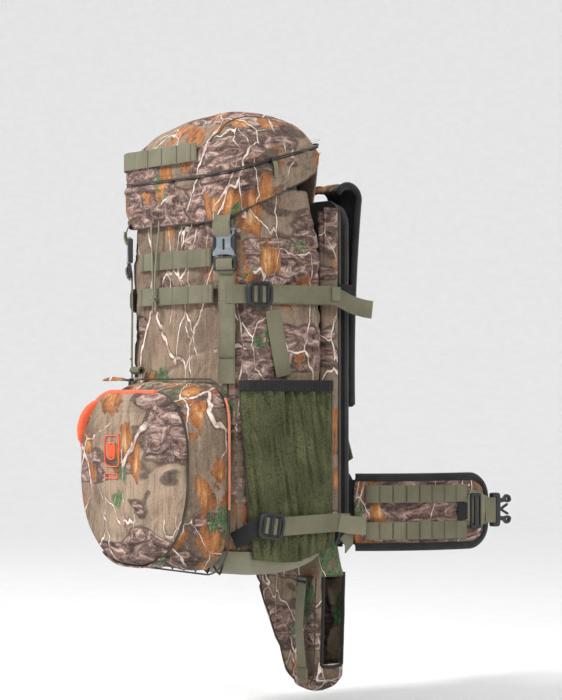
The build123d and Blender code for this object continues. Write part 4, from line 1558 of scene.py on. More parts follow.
upper_parts, lower_parts, diagonal_parts = [], [], []
for side, label in SIDES:
    upper_parts += side_webs(UPPER_WEBS, SIDE_STRAP_Z, side, label)
    upper_parts.append(
        stitch_box("upper_box_" + label, side, -0.084, SIDE_STRAP_Z, 0.1494, 0.018, 0.018)
    )
    lower_parts += side_webs(LOWER_WEBS, LOWER_STRAP_Z, side, label)
    path = smooth_path([(side * x, y, z) for x, y, z in DIAGONAL], 10)
    diagonal_parts.append(
        ribbon("diagonal_run_" + label, path, (0, 1, 0.2), WEB_WIDTH, WEB_THICK, OLIVE, "pack")
    )
for parts, name, node in (
    (upper_parts, "upper_side_webbing", "upper_side_straps"),
    (lower_parts, "lower_side_webbing", "lower_side_straps"),
    (diagonal_parts, "diagonal_run", "diagonal_webbings"),
):
    webbing = merge(name, parts)
    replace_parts(webbing, node)


# --- Mesh side pockets ------------------------------------------------------
MESH_TOP, MESH_BOTTOM = 0.257, 0.024
MESH_DEPTH = 0.0135
MESH_BACK_Y = -0.0735


def mesh_edge_turn(z):
    """How far round the front corner the pocket is sewn at one height."""
    return math.radians(50 + 22 * (1 - (z - MESH_BOTTOM) / (MESH_TOP - MESH_BOTTOM)) ** 1.2)


def pocket_line(z, side, steps):
    """Points and outward directions along the pocket at one height."""
    half_x, half_y, centre = bag_plan(z)
    start = mesh_edge_turn(z)
    corner_y = centre - half_y + BAG_RADIUS
    back_y = MESH_BACK_Y
    arc = BAG_RADIUS * (math.pi / 2 - start)
    total = arc + back_y - corner_y
    out = []
    for k in range(steps):
        distance = total * k / (steps - 1)
        if distance < arc:
            turn = start + distance / BAG_RADIUS
            normal = Vector((side * math.sin(turn), -math.cos(turn), 0))
            base = corner_point(turn, z, side)
        else:
            normal = Vector((side, 0, 0))
            base = Vector((side * half_x, corner_y + distance - arc, z))
        out.append((base, normal, distance / total, total))
    return out


def mesh_pocket(side, label):
    rows, steps = 96, 130
    verts = []
    for row in range(rows):
        t = row / (rows - 1)
        z = MESH_BOTTOM + (MESH_TOP - MESH_BOTTOM) * t
        bottom = min(1.0, (1 - (1 - min(1.0, t / 0.13)) ** 2))
        for base, normal, share, total in pocket_line(z, side, steps):
            ends = min(1.0, min(share, 1 - share) / 0.13)
            ends = math.sqrt(max(0.0, 1 - (1 - ends) ** 2))
            swell = 0.0012 + (MESH_DEPTH - 0.0042) * ends * max(bottom, 0.15)
            gathers = math.sin(
                share * 54 + 3.0 * rough_noise((share * 9, t * 1.5, side), (1, 1, 1), 2.0)
            )
            near_seam = 0.45 + 0.9 * (gauss(t, 1.0, 0.20) + gauss(t, 0.0, 0.30))
            fold = rough_noise((share * 8.5 + t * 1.9, t * 1.5, side * 3), (1, 1, 1), 5.2)
            sag = 0.0026 * gathers * near_seam + 0.0040 * fold - 0.0052 * ridge(fold, 5)
            strap = gauss(z, LOWER_STRAP_Z, 0.014) * -0.0010
            drop = -0.010 * (1 - t) * math.sin(math.pi * share) * 0.6
            if share > 0.55:
                drop += 0.012 * (1 - t) ** 3 * (share - 0.55) / 0.45
            point = base + normal * max(0.0008, swell + (sag + strap) * ends)
            verts.append((point.x, point.y, max(point.z + drop, 0.004)))
    net = piece("mesh_cloth_" + label, verts, grid_faces(rows, steps, False), STRETCH_MESH, "pack")
    thicken(net, 0.0011)
    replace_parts(net, "mesh_pocket_" + label)


band_parts = []
for side, label in SIDES:
    mesh_pocket(side, label)
    path, up = [], []
    for base, normal, share, total in pocket_line(0.255, side, 80):
        ends = math.sqrt(max(0.0, 1 - (1 - min(1.0, min(share, 1 - share) / 0.13)) ** 2))
        ruffle = 0.0005 * math.sin(share * 190)
        path.append(base + normal * (0.0022 + (MESH_DEPTH - 0.0008) * ends + ruffle))
    band_parts.append(
        ribbon(
            "pocket_band_run_" + label, path, (0, 0, 1), 0.0150, 0.0026, BLACK_WEB, "pack",
            edge=0.0011
        )
    )
    for share_end in (0, -1):
        edge = []
        for row in range(40):
            z = MESH_TOP - (MESH_TOP - MESH_BOTTOM) * row / 39
            base, normal, _, _ = pocket_line(z, side, 40)[share_end]
            drop = 0.0 if share_end == 0 else 0.012 * (row / 39) ** 3
            edge.append(base + normal * 0.0022 + Vector((0, 0, drop)))
        band_parts.append(
            tube(
                "pocket_side_bind_%s_%d" % (label, share_end), edge, 0.0017, SEAM_DARK, "pack",
                sides=6
            )
        )
bands = merge("pocket_band_webbing", band_parts)
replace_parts(bands, "pocket_bands")

# --- Front pocket and its door ----------------------------------------------
pocket_low, pocket_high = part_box("front_pocket")
door_low, door_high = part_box("pocket_door")
POCKET_RADIUS = 0.058
DOOR_CENTRE_Z = (door_low.z + door_high.z) / 2 - 0.0035
POCKET_CENTRE_Z = (pocket_low.z + pocket_high.z) / 2


def upright_point(column, half_x, half_z, radius, centre_z, foot_radius=None):
    """Like plan_point, but in the upright plane of the pocket's face: returns x and z."""
    a, b, nx, nz = column
    limit = min(half_x, half_z)
    top = min(radius, limit)
    foot = min(radius if foot_radius is None else foot_radius, limit)
    mid = (top + foot) / 2
    if abs(nz) > 1e-6:
        mid = top if nz > 0 else foot
    elif abs(b) > 1e-6:
        mid = foot if b < 0 else top
    x = a * (half_x - mid) + mid * nx
    return x, b * (half_z - mid) + mid * nz + centre_z


# The door is an arch with a wide rounded foot, set a little lower than the pocket behind it.
DOOR_TOP_RADIUS, DOOR_FOOT_RADIUS = 0.082, 0.116
DOOR_HALF_X = door_high.x - 0.0030
DOOR_TOP_Z, DOOR_FOOT_Z = door_high.z - 0.013, door_low.z + 0.006
DOOR_HALF_Z = (DOOR_TOP_Z - DOOR_FOOT_Z) / 2
DOOR_EDGE = 0.019


def door_outline(column, inset, share=1.0, centre_z=DOOR_CENTRE_Z):
    """The door's arched outline, drawn in by inset and then scaled by share: x and z."""
    return upright_point(
        column, (DOOR_HALF_X - inset) * share, (DOOR_HALF_Z - inset) * share,
        (DOOR_TOP_RADIUS - inset) * share, centre_z, (DOOR_FOOT_RADIUS - inset) * share,
    )


def pocket_body():
    """The pocket's gusset: slack cloth from the bag's front to the door's edge."""
    columns = plan_columns(80, 76, 24)
    half_x = pocket_high.x - 0.0008
    half_z = (pocket_high.z - pocket_low.z) / 2 - 0.0008
    rows = 40
    verts = []
    for row in range(rows):
        t = row / (rows - 1)
        y = pocket_high.y - 0.0006 - (pocket_high.y - pocket_low.y) * t
        swell = math.sin(math.pi * min(1.0, t * 0.9 + 0.08)) ** 0.7
        for column in columns:
            nx, nz = column[2], column[3]
            x, z = upright_point(
                column, half_x, half_z, POCKET_RADIUS, POCKET_CENTRE_Z, POCKET_RADIUS * 1.15
            )
            x2, z2 = door_outline(column, 0.0)
            lean = t * t * (3 - 2 * t)
            x, z = x + (x2 - x) * lean, z + (z2 - z) * lean
            point = (x, y, z)
            sag = -0.0040 + 0.0040 * swell
            sag += 0.0026 * rough_noise(point, (13, 16, 13), 4.0) * swell
            fold = rough_noise(point, (22, 8, 22), 7.7)
            sag -= 0.0034 * ridge(fold, 8) * swell
            sag -= 0.0022 * gauss(t, 0.50, 0.018) * (1 if nx > 0.3 or nz < -0.5 else 0)
            verts.append((x + nx * sag, y, z + nz * sag))
    for column in columns:
        x, z = door_outline(column, 0.010)
        verts.append((x, pocket_low.y - 0.0001, z))
    # The gusset takes the gusset copy of the camo, painted darker as shade.
    cloth = piece(
        "pocket_gusset", verts, grid_faces(rows + 1, len(columns), True), CAMO_GUSSET, "pack"
    )
    thicken(cloth, CLOTH_THICK)
    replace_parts(cloth, "front_pocket")


pocket_body()


def door_point(column, inset, depth_share):
    """A point on the door: depth_share 0 at its hinge-side rim and 1 at its outer face."""
    nx, nz = column[2], column[3]
    x, z = door_outline(column, inset)
    y = door_high.y - (door_high.y - door_low.y) * depth_share
    return x, y, z, nx, nz


def door_cloth():
    columns = plan_columns(96, 90, 26)
    count = len(columns)
    verts = []
    rows = 0
    edge_rows, face_rows = 16, 56
    for row in range(edge_rows):
        t = row / (edge_rows - 1)
        turn = t * math.pi / 2
        inset = DOOR_EDGE * (1 - math.cos(turn))
        depth = 0.10 + 0.74 * math.sin(turn)
        for column in columns:
            x, y, z, nx, nz = door_point(column, inset, depth)
            point = (x, y, z)
            sag = 0.0012 * rough_noise(point, (24, 24, 24), 3.0) - 0.0006
            verts.append((x + nx * sag, y - 0.0004, z + nz * sag))
        rows += 1
    base_y = door_high.y - (door_high.y - door_low.y) * 0.84
    for row in range(1, face_rows):
        share = 1 - row / (face_rows - 1) * 0.985
        for column in columns:
            nx, nz = column[2], column[3]
            x, z = door_outline(column, DOOR_EDGE, share, 0.0)
            crown = 0.0042 * (1 - share**2.2)
            point = (x, 0.0, z)
            wave = 0.0034 * rough_noise(point, (9, 1, 11), 2.6) + 0.0014 * rough_noise(
                point, (28, 1, 34), 8.1
            )
            fold = rough_noise((x + z * 0.35, 0, z - x * 0.2), (6, 1, 17), 5.5)
            wave -= 0.0030 * ridge(fold, 8)
            fade = min(1.0, (1 - share) * 7)
            seam = 0.0016 * gauss(share, 0.905, 0.010)
            y = base_y - crown - wave * fade + seam
            verts.append((x, max(y, door_low.y - 0.004), z + DOOR_CENTRE_Z))
        rows += 1
    faces = grid_faces(rows, count, True)
    cap = len(verts)
    last = (rows - 1) * count
    mid_y = sum(verts[last + i][1] for i in range(count)) / count
    verts.append((0, mid_y, DOOR_CENTRE_Z))
    faces += cap_faces(last, count, cap)
    cloth = piece("door_cloth", verts, faces, CAMO_POCKET, "door")
    thicken(cloth, CLOTH_THICK)
    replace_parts(cloth, "pocket_door")


door_cloth()


def door_ring(inset, depth, first=0.0, last=1.0, out=0.0):
    """Part of the way round the door, anticlockwise from its foot as seen from the front."""
    columns = plan_columns(80, 76, 24)
    ring = [door_point(c, inset, depth) for c in columns]
    points = [Vector((x + nx * out, y, z + nz * out)) for x, y, z, nx, nz in ring]
    normals = [Vector((nx, 0, nz)) for x, y, z, nx, nz in ring]
    count = len(points)
    angles = []
    for p in points:
        turn = math.atan2(p.x, -(p.z - DOOR_CENTRE_Z)) / (2 * math.pi)
        angles.append(turn % 1.0)
    order = sorted(range(count), key=lambda i: angles[i])
    chosen = [i for i in order if first <= angles[i] <= last]
    return [points[i] for i in chosen], [normals[i] for i in chosen]


# Turns round the door run from 0 at its foot, by 0.25 at its right side and 0.5 at its top, to 1.
bright, _ = door_ring(0.0020, 0.30, 0.420, 0.815, 0.0012)
tube("door_piping_bright", bright, 0.0034, ORANGE, "door")
dull, _ = door_ring(0.0015, 0.06, 0.0, 0.421, 0.0008)
tube("door_piping_dark", dull, 0.0021, SEAM_DARK, "door")
rest, _ = door_ring(0.0015, 0.06, 0.815, 1.0, 0.0008)
tube("door_piping_rest", rest, 0.0021, SEAM_DARK, "door")
zip_run, _ = door_ring(0.004, -0.02, 0.06, 0.94, 0.0)
tube("door_zip_coil", zip_run, WEB_THICK, BLACK_WEB, "door")


def hood():
    """A fat sewn hood over the zip's parked end, at the door's upper left corner."""
    path, normals = door_ring(0.0080, 0.50, 0.600, 0.705, 0.0)
    verts = []
    sides = 14
    count = len(path)
    for i, point in enumerate(path):
        share = i / (count - 1)
        fat = 0.0036 + 0.0085 * math.sin(math.pi * min(1, share * 1.08)) ** 0.5
        out = normals[i]
        for k in range(sides):
            turn = 2 * math.pi * k / sides
            wobble = 1 + 0.10 * noise.noise(Vector((share * 7, k * 0.7, 2.0)))
            verts.append(
                point + out * (math.cos(turn) * fat * 0.72 - 0.001) * wobble
                + Vector((0, -1, 0)) * (math.sin(turn) * fat * 1.15 + 0.002) * wobble
            )
    faces = grid_faces(count, sides, True)
    faces.append(tuple(range(sides - 1, -1, -1)))
    faces.append(tuple(range((count - 1) * sides, count * sides)))
    piece("zip_hood", verts, faces, ORANGE, "door")


hood()
zip_end, _ = door_ring(0.0080, 0.42, 0.702, 0.735, 0.0012)
tube("zip_end", zip_end, 0.0038, BLACK_WEB, "door", flat=0.7)

path, normals = door_ring(0.0125, 0.72 + 0.07)
ups = [Vector((n.x * 0.4, -1, n.z * 0.4)).normalized() for n in normals]
stitches("door_stitch", path + [path[0]], ups + [ups[0]], THREAD, "door", 0.0034, 0.0020, 0.0008)

# A bound strip of cloth joins the door's foot to the pocket.
foot_verts = []
for row in range(14):
    t = row / 13
    for k in range(41):
        a = -0.075 + 0.150 * k / 40
        over = max(0.0, abs(a) - (DOOR_HALF_X - DOOR_FOOT_RADIUS)) / DOOR_FOOT_RADIUS
        z = DOOR_CENTRE_Z - DOOR_HALF_Z + DOOR_FOOT_RADIUS * (1 - math.sqrt(1 - over**2))
        foot_verts.append(
            (
                a, door_high.y + 0.007 - 0.016 * t,
                max(z - 0.0012 + 0.0008 * math.sin(math.pi * t), 0.0042)
            )
        )
# The strip under the door takes the shaded copy of the camo: painted shade.
door_foot = piece("door_foot_strip", foot_verts, grid_faces(14, 41, False), CAMO_SHADED, None)
thicken(door_foot, FLAP_THICK)
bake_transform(door_foot)

# Piping where the gusset meets the bag's front, brightest down its right side.
ring_low, ring_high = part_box("pocket_piping")
pipe_columns = plan_columns(80, 76, 24)
pipe_points = []
for column in pipe_columns:
    x, z = upright_point(
        column, ring_high.x - 0.0012, (ring_high.z - ring_low.z) / 2 - 0.0012, POCKET_RADIUS,
        POCKET_CENTRE_Z
    )
    pipe_points.append(Vector((x, (ring_low.y + ring_high.y) / 2 + 0.0004, z)))
dark_pipe = tube("pocket_welt", pipe_points, 0.0012, SEAM_DARK, "pack", closed=True)
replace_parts(dark_pipe, "pocket_piping")
for side, label in SIDES:
    upright = [p for p in pipe_points if side * p.x > 0.10 and 0.090 < p.z < 0.240]
    bright_run = sorted(
        (p + Vector((side * 0.0010, -0.0010, 0)) for p in upright), key=lambda p: p.z
    )
    tube("pocket_piping_" + label, bright_run, 0.0017, FADED_ORANGE, "pack")

# A plain sewn badge on the door, without any mark on it: a ring, a block inside it and a bar below.
BADGE_X, BADGE_Z = -0.028, 0.166
door_tree = BVHTree.FromObject(
    bpy.data.objects["door_cloth"], bpy.context.evaluated_depsgraph_get()
)


def on_door(x, z, lift=0.0006):
    hit = door_tree.ray_cast(Vector((x, door_low.y - 0.1, z)), Vector((0, 1, 0)))[0]
    return hit + Vector((0, -lift, 0))


for label, wide, tall, dz in (
    ("ring", 0.036, 0.042, 0.0), ("block", 0.018, 0.022, 0.0), ("bar", 0.030, 0.006, -0.034)
):
    outline = smooth_path(
        [
            on_door(BADGE_X + x, BADGE_Z + dz + z)
            for x, z in rectangle(wide, tall, 0, 0, 0.009 if label != "bar" else 0.002)
        ],
        2, True
    )
    tube("badge_" + label, outline, 0.0019, ORANGE, "door", closed=True, flat=0.5, sides=6)
fill = []
for k in range(7):
    x = BADGE_X - 0.0075 + 0.0025 * k
    fill.append(
        tube(
            "badge_thread_%d" % k, [on_door(x, BADGE_Z - 0.009 + 0.018 * j / 6) for j in range(7)],
            0.0012, ORANGE, "door", sides=6
        )
    )
merge("badge_threads", fill)

slider_low, slider_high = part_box("pocket_zip_slider")
slider_mid = (slider_low + slider_high) / 2
slider_body = moulded(
    "pocket_slider_body",
    [rounded([(-0.0055, -0.0042), (0.0055, -0.0034), (0.0055, 0.0034), (-0.0055, 0.0042)], 0.0015)],
    0.0034, axes(
        (0.0, slider_mid.y, slider_low.z + 0.0022), (1, 0, 0), (0, 0, 1)
    ), PLASTIC, "door_slider",
)
slider_pull = ribbon(
    "pocket_slider_pull",
    smooth_path(
        [
            (0.004, slider_mid.y, slider_low.z + 0.0046),
            (0.012, slider_mid.y - 0.0005, slider_low.z + 0.0052),
            (slider_high.x - 0.001, slider_mid.y - 0.001, slider_low.z + 0.0035)
        ],
        8
    ),
    (0, 1, 0), 0.0062, 0.0015, OLIVE_LIGHT, "door_slider",
)
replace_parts(merge("pocket_slider", [slider_body, slider_pull]), "pocket_zip_slider")

garage_low, garage_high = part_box("zip_garage")
garage_verts = []
columns = plan_columns(16, 10, 6)
for row in range(8):
    share = 1 - row / 7 * 0.97
    for column in columns:
        x, y = plan_point(column, 0.0205 * share, 0.0115 * share, 0.008 * share, 0.0)
        lift = 0.0004 + 0.0042 * (1 - share**3) + 0.0010 * rough_noise((x, y, 0), (90, 90, 1), 1.0)
        garage_verts.append(
            (
                x + (garage_low.x + garage_high.x) / 2, y + (garage_low.y + garage_high.y) / 2,
                garage_low.z + lift
            )
        )
# The garage takes the shaded copy of the camo: painted shade.
garage = piece(
    "zip_garage_cloth", garage_verts, grid_faces(8, len(columns), True), CAMO_SHADED, "pack"
)
thicken(garage, 0.0012)
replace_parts(garage, "zip_garage")

loop_low, loop_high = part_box("pull_loop")
loop_mid = (loop_low + loop_high) / 2
coil = []
for k in range(46):
    turn = 2 * math.pi * 1.55 * k / 45
    reach = 0.0030 + 0.0026 * k / 45
    coil.append(
        Vector(
            (loop_mid.x, loop_mid.y + reach * math.cos(turn), loop_mid.z + reach * math.sin(turn))
        )
    )
roll = ribbon(
    "pull_loop_roll", coil, (1, 0, 0), loop_high.x - loop_low.x - 0.001, WEB_THICK, OLIVE, "pack"
)
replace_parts(roll, "pull_loop")

SIM_FRAMES = 14
SIM_PRESSURE = 4.0
SEWN_HOLD = 0.35

# --- Padded cloth -----------------------------------------------------------
def padded_cloth(name, node, voxel, seam, body, materials, pick, cap=0.004, inset=0.0022):
    """A pad: the CAD form remeshed, drawn in at its seams and swollen by cloth simulation."""
    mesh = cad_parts[node].data.copy()
    mesh.name = name
    mesh.materials.clear()
    thing = bpy.data.objects.new(name, mesh)
    bpy.context.scene.collection.objects.link(thing)
    remesh = thing.modifiers.new("remesh", "REMESH")
    remesh.mode = "VOXEL"
    remesh.voxel_size = voxel
    apply_modifiers(thing)
    mesh = thing.data
    normals = [v.normal.copy() for v in mesh.vertices]
    for vertex, normal in zip(mesh.vertices, normals):
        hold = seam(vertex.co)
        vertex.co = vertex.co - normal * (inset + 0.0024 * hold)
    start = [v.co.copy() for v in mesh.vertices]
    group = thing.vertex_groups.new(name="sewn")
    for vertex in mesh.vertices:
        hold = seam(vertex.co)
        if hold > SEWN_HOLD:
            group.add([vertex.index], min(1.0, hold), "REPLACE")
    cloth = thing.modifiers.new("cloth", "CLOTH")
    settings = cloth.settings
    settings.quality = 6
    settings.mass = 0.3
    settings.use_pressure = True
    settings.uniform_pressure_force = SIM_PRESSURE
    settings.effector_weights.gravity = 0.0
    settings.vertex_group_mass = "sewn"
    cloth.point_cache.frame_start = 1
    cloth.point_cache.frame_end = SIM_FRAMES
    for number in range(1, SIM_FRAMES + 1):
        bpy.context.scene.frame_set(number)
    apply_modifiers(thing)
    bpy.context.scene.frame_set(1)
    for vertex, before in zip(thing.data.vertices, start):
        moved = vertex.co - before
        if moved.length > cap:
            vertex.co = before + moved * (cap / moved.length)
    divide = thing.modifiers.new("divide", "SUBSURF")
    divide.levels = 1
    divide.render_levels = 1
    apply_modifiers(thing)
    mesh = thing.data
    for material in materials:
        mesh.materials.append(material)
    for face in mesh.polygons:
        face.use_smooth = True
        face.material_index = pick(face.center, face.normal)
    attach(thing, body)
    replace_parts(thing, node)
    return thing


def apply_modifiers(thing):
    bpy.context.view_layer.update()
    made = bpy.data.meshes.new_from_object(
        thing.evaluated_get(bpy.context.evaluated_depsgraph_get())
    )
    thing.modifiers.clear()
    old = thing.data
    made.name = old.name + "_made"
    thing.data = made
    bpy.data.meshes.remove(old)


def arc_through(a, b, c, count):
    """Points in a plane along the circle arc through three points."""
    ax, ay, bx, by, cx, cy = *a, *b, *c
    d = 2 * (ax * (by - cy) + bx * (cy - ay) + cx * (ay - by))
    ux = (
        (ax**2 + ay**2) * (by - cy) + (bx**2 + by**2) * (cy - ay) + (cx**2 + cy**2) * (ay - by)
    ) / d
    uy = (
        (ax**2 + ay**2) * (cx - bx) + (bx**2 + by**2) * (ax - cx) + (cx**2 + cy**2) * (bx - ax)
    ) / d
    radius = math.hypot(ax - ux, ay - uy)
    first = math.atan2(ay - uy, ax - ux)
    middle = (math.atan2(by - uy, bx - ux) - first) % (2 * math.pi)
    sweep = (math.atan2(cy - uy, cx - ux) - first) % (2 * math.pi)
    if middle > sweep:
        sweep -= 2 * math.pi
    return [
        (
            ux + radius * math.cos(first + sweep * k / count),
            uy + radius * math.sin(first + sweep * k / count)
        )
        for k in range(count + 1)
    ]


# --- Back -------------------------------------------------------------------
panel_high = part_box("back_panel")[1]
PANEL_LEVELS = (0.150, 0.275, 0.395)
WINDOW_LEVELS = (0.224, 0.326)


def panel_seam(point):
    """Sewn channels of the back panel: two uprights and three level ones."""
    hold = max(gauss(abs(point.x), 0.040, 0.006), gauss(abs(point.x), panel_high.x, 0.007))
    for z in PANEL_LEVELS:
        hold = max(hold, gauss(point.z, z, 0.006) * (1 if abs(point.x) > 0.036 else 0.2))
    return hold


padded_cloth(
    "back_pad", "back_panel", 0.006, panel_seam, "pack", [SPACER, BINDING],
    lambda centre, normal: 0 if normal.y > 0.25 and abs(
        abs(centre.x) - panel_high.x
    ) > 0.010 else 1, cap=0.006,
)
padded_cloth(
    "lumbar_cushion", "lumbar_pad", 0.005,
    lambda p: max(
        gauss(abs(p.x), 0.035, 0.005), gauss(p.z, 0.079, 0.004) * (1 if abs(p.x) > 0.035 else 0)
    ),
    "pack", [SPACER, BINDING], lambda centre, normal: 0 if normal.y > 0.3 else 1, cap=0.004,
)
lumbar_low, lumbar_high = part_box("lumbar_pad")
ring = [Vector((x, lumbar_low.y + 0.003, z)) for x, z in (
    tuple(p) for p in rectangle(
        lumbar_high.x * 2 - 0.004, lumbar_high.z - lumbar_low.z - 0.004, 0,
        (lumbar_low.z + lumbar_high.z) / 2, 0.018
    )
)]
tube("lumbar_binding", smooth_path(ring, 3, True), 0.0024, BINDING, "pack", closed=True, sides=6)

# Channel sides keep their windows; each gets bound edges.
# They take the side copy of the camo, painted darker as shade.
refinish("channel_sides", CAMO_SHADED_SIDE)
channel_low, channel_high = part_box("channel_sides")
for side, label in SIDES:
    for z in WINDOW_LEVELS:
        ring = [
            Vector((side * 0.1192, -0.05315 + a, z + b))
            for a, b in rectangle(0.0150, 0.033, 0, 0, 0.006)
        ]
        tube(
            "window_binding_%s_%d" % (label, round(z * 1000)), smooth_path(ring, 2, True), 0.0020,
            BINDING, "pack", closed=True, sides=6
        )
    edge = [
        Vector(
            (
                side * 0.1196, channel_high.y - 0.0005,
                channel_low.z + (channel_high.z - channel_low.z) * k / 60
            )
        )
        for k in range(61)
    ]
    edge = [
        p + Vector((side * 0.0016 * noise.noise(Vector((0, side, p.z * 14))), 0, 0))
        for p in edge
    ]
    tube("channel_binding_" + label, edge, 0.0017, SEAM_DARK, "pack")
    # The bag's back corner has a slack flap of cloth over the channel.
    verts = []
    rows, count = 70, 14
    for row in range(rows):
        z = 0.055 + 0.440 * row / (rows - 1)
        for k in range(count):
            t = k / (count - 1)
            y = BAG_BACK - 0.004 + 0.0245 * t
            half_x, half_y, centre = bag_plan(z)
            wave = 0.0030 * rough_noise((t * 2, z, side), (1, 13, 1), 3.0)
            x = (half_x - 0.030) + (
                0.1226 - half_x + 0.030
            ) * t + 0.008 * math.sin(math.pi * t) + wave
            verts.append((side * x, y, z))
    # The flap takes the side copy of the camo, painted darker as shade.
    flap = piece("channel_flap_" + label, verts, grid_faces(rows, count, False), CAMO_SHADED_SIDE, "pack")
    thicken(flap, FLAP_THICK)

ALLOY = moulded_finish("alloy_stay", (0.42, 0.43, 0.44), 0.32)
ALLOY.node_tree.nodes["Principled BSDF"].inputs["Metallic"].default_value = 0.9
refinish("frame_stays", ALLOY)
refinish("frame_sheet", moulded_finish("frame_sheet_plastic", (0.03, 0.03, 0.03), 0.5))

loop_low, loop_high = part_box("haul_loop")
loop_path = smooth_path(
    [
        (-0.0225, -0.024, loop_low.z + 0.001), (-0.0215, -0.024, loop_low.z + 0.010),
        (-0.014, -0.024, loop_high.z - 0.005), (0, -0.024, loop_high.z - 0.0016),
        (0.014, -0.024, loop_high.z - 0.005), (0.0215, -0.024, loop_low.z + 0.010),
        (0.0225, -0.024, loop_low.z + 0.001)
    ], 8,
)
haul = ribbon("haul_webbing", loop_path, (0, 1, 0), 0.020, 0.0022, BLACK_WEB, "pack")
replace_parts(haul, "haul_loop")

# --- Shoulder straps --------------------------------------------------------
SPLAY = math.radians(1)
strap_line = arc_through((0, -5), (19, 6), (35, -18), 12)[:-1] + arc_through(
    (35, -18), (25, -130), (20, -300), 56
)


def strap_point(side, u, v, w):
    """A point by the strap's plane: u rearwards, v up along it and w across it."""
    x = 62 - v * math.sin(SPLAY) + w * math.cos(SPLAY)
    z = 528 + v * math.cos(SPLAY) + w * math.sin(SPLAY)
    return Vector((side * x * MM, (-24 + u) * MM, z * MM))


def strap_side_path(side, w, lift):
    points = []
    for i, (u, v) in enumerate(strap_line):
        u2, v2 = strap_line[min(i + 1, len(strap_line) - 1)]
        u1, v1 = strap_line[max(i - 1, 0)]
        run = math.hypot(u2 - u1, v2 - v1)
        nu, nv = -(v2 - v1) / run, (u2 - u1) / run
        points.append(strap_point(side, u + nu * lift, v + nv * lift, w))
    return points


for side, label in SIDES:
    middle = strap_side_path(side, 0, 0)

    def strap_seam(point, line=middle, hand=side):
        across = Vector((hand * math.cos(SPLAY), 0, math.sin(SPLAY)))
        near = min(line, key=lambda p: (p - point).length_squared)
        w = (point - near).dot(across)
        return max(gauss(abs(w), 0.020, 0.0035), gauss(abs(w), 0.034, 0.005))

    def strap_pick(centre, normal, line=middle):
        near = min(range(len(line)), key=lambda i: (line[i] - centre).length_squared)
        ahead = line[min(near + 1, len(line) - 1)] - line[max(near - 1, 0)]
        outer = Vector((0, -ahead.z, ahead.y))
        return 0 if normal.dot(outer) > 0 else 1

    # The strap's outer face takes the shaded copy of the camo: painted shade.
    padded_cloth(
        "shoulder_pad_" + label, "shoulder_strap_" + label, 0.005, strap_seam, "strap_" + label,
        [CAMO_SHADED, SPACER], strap_pick, cap=0.0045,
    )
    for number, w in enumerate((-33.0, 33.0)):
        tube(
            "strap_binding_%s_%d" % (label, number), strap_side_path(side, w, 0), 0.0038, BINDING,
            "strap_" + label, flat=1.35
        )
    tip = [strap_side_path(side, w, 0)[-1] + Vector((0, 0, 0.001)) for w in (-33, -20, 0, 20, 33)]
    tube("strap_tip_" + label, tip, 0.0040, BINDING, "strap_" + label)
    face = strap_side_path(side, 0, 6.4)
    looped_webbing(
        "strap_daisy_" + label, face[10:60],
        [Vector((0, -(b - a).z, (b - a).y)).normalized() for a, b in zip(face[9:59], face[11:61])],
        0.025, [0.010, 0.050, 0.090, 0.130, 0.170, 0.195], OLIVE, "strap_" + label, rise=0.0028,
    )
    sternum_low, sternum_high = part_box("sternum_strap_" + label)
    inner, outer = (sternum_low.x, sternum_high.x) if side > 0 else (sternum_high.x, sternum_low.x)
    z = (sternum_low.z + sternum_high.z) / 2
    y = (sternum_low.y + sternum_high.y) / 2
    line = smooth_path(
        [
            (outer, y - 0.0006, z), ((inner * 0.4 + outer * 0.6), y + 0.0006, z - 0.0015),
            (inner + side * 0.006, y, z)
        ],
        10
    )
    sternum = ribbon(
        "sternum_run_" + label, line, (0, 0, 1), 0.019, WEB_THICK, BLACK_WEB, "strap_" + label
    )
    clip = moulded(
        "sternum_clip_" + label, [
            rectangle(0.0078, 0.0235, 0, 0, 0.0025), rectangle(0.0022, 0.015, 0.0008, 0, 0.0008)
        ],
        0.0064, axes(
            (inner + side * 0.0040, y, z), (1, 0, 0), (0, 1, 0)
        ), PLASTIC, "strap_" + label,
    )
    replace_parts(merge("sternum_" + label, [sternum, clip]), "sternum_strap_" + label)

    # The lower webbing runs out of the strap's end down to the bag's foot.
    end = strap_side_path(side, 0, 0)[-1]
    leg = ribbon(
        "shoulder_leg_" + label,
        smooth_path(
            [
                end + Vector((0, 0, 0.018)), end + Vector((0, -0.002, -0.004)),
                Vector((side * 0.074, -0.0126, 0.202)), Vector((side * 0.090, -0.0128, 0.180)),
                Vector((side * 0.104, -0.0132, 0.150))
            ],
            14
        ),
        (1, 0, 0), LOOP_WIDTH, WEB_THICK, OLIVE, None,
    )
    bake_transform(leg)
    if side > 0:
        first_leg = leg
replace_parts(first_leg, "shoulder_webbings")

# --- Hip belt ---------------------------------------------------------------
WING_CENTRE = Vector((-0.100, 0.156, 0))
WING_ARC = 0.260
WING_START, WING_TIP = -38.6, 6.6
BELT_LOW, BELT_HIGH = 0.030, 0.128
BELT_MIDDLE = (BELT_LOW + BELT_HIGH) / 2
BELT_ROWS = (0.0535, 0.1045)


def wing_point(side, degrees, radius, z):
    turn = math.radians(degrees)
    x = WING_CENTRE.x + radius * math.cos(turn)
    return Vector((side * x, WING_CENTRE.y + radius * math.sin(turn), z))


def wing_out(side, degrees):
    turn = math.radians(degrees)
    return Vector((side * math.cos(turn), math.sin(turn), 0))


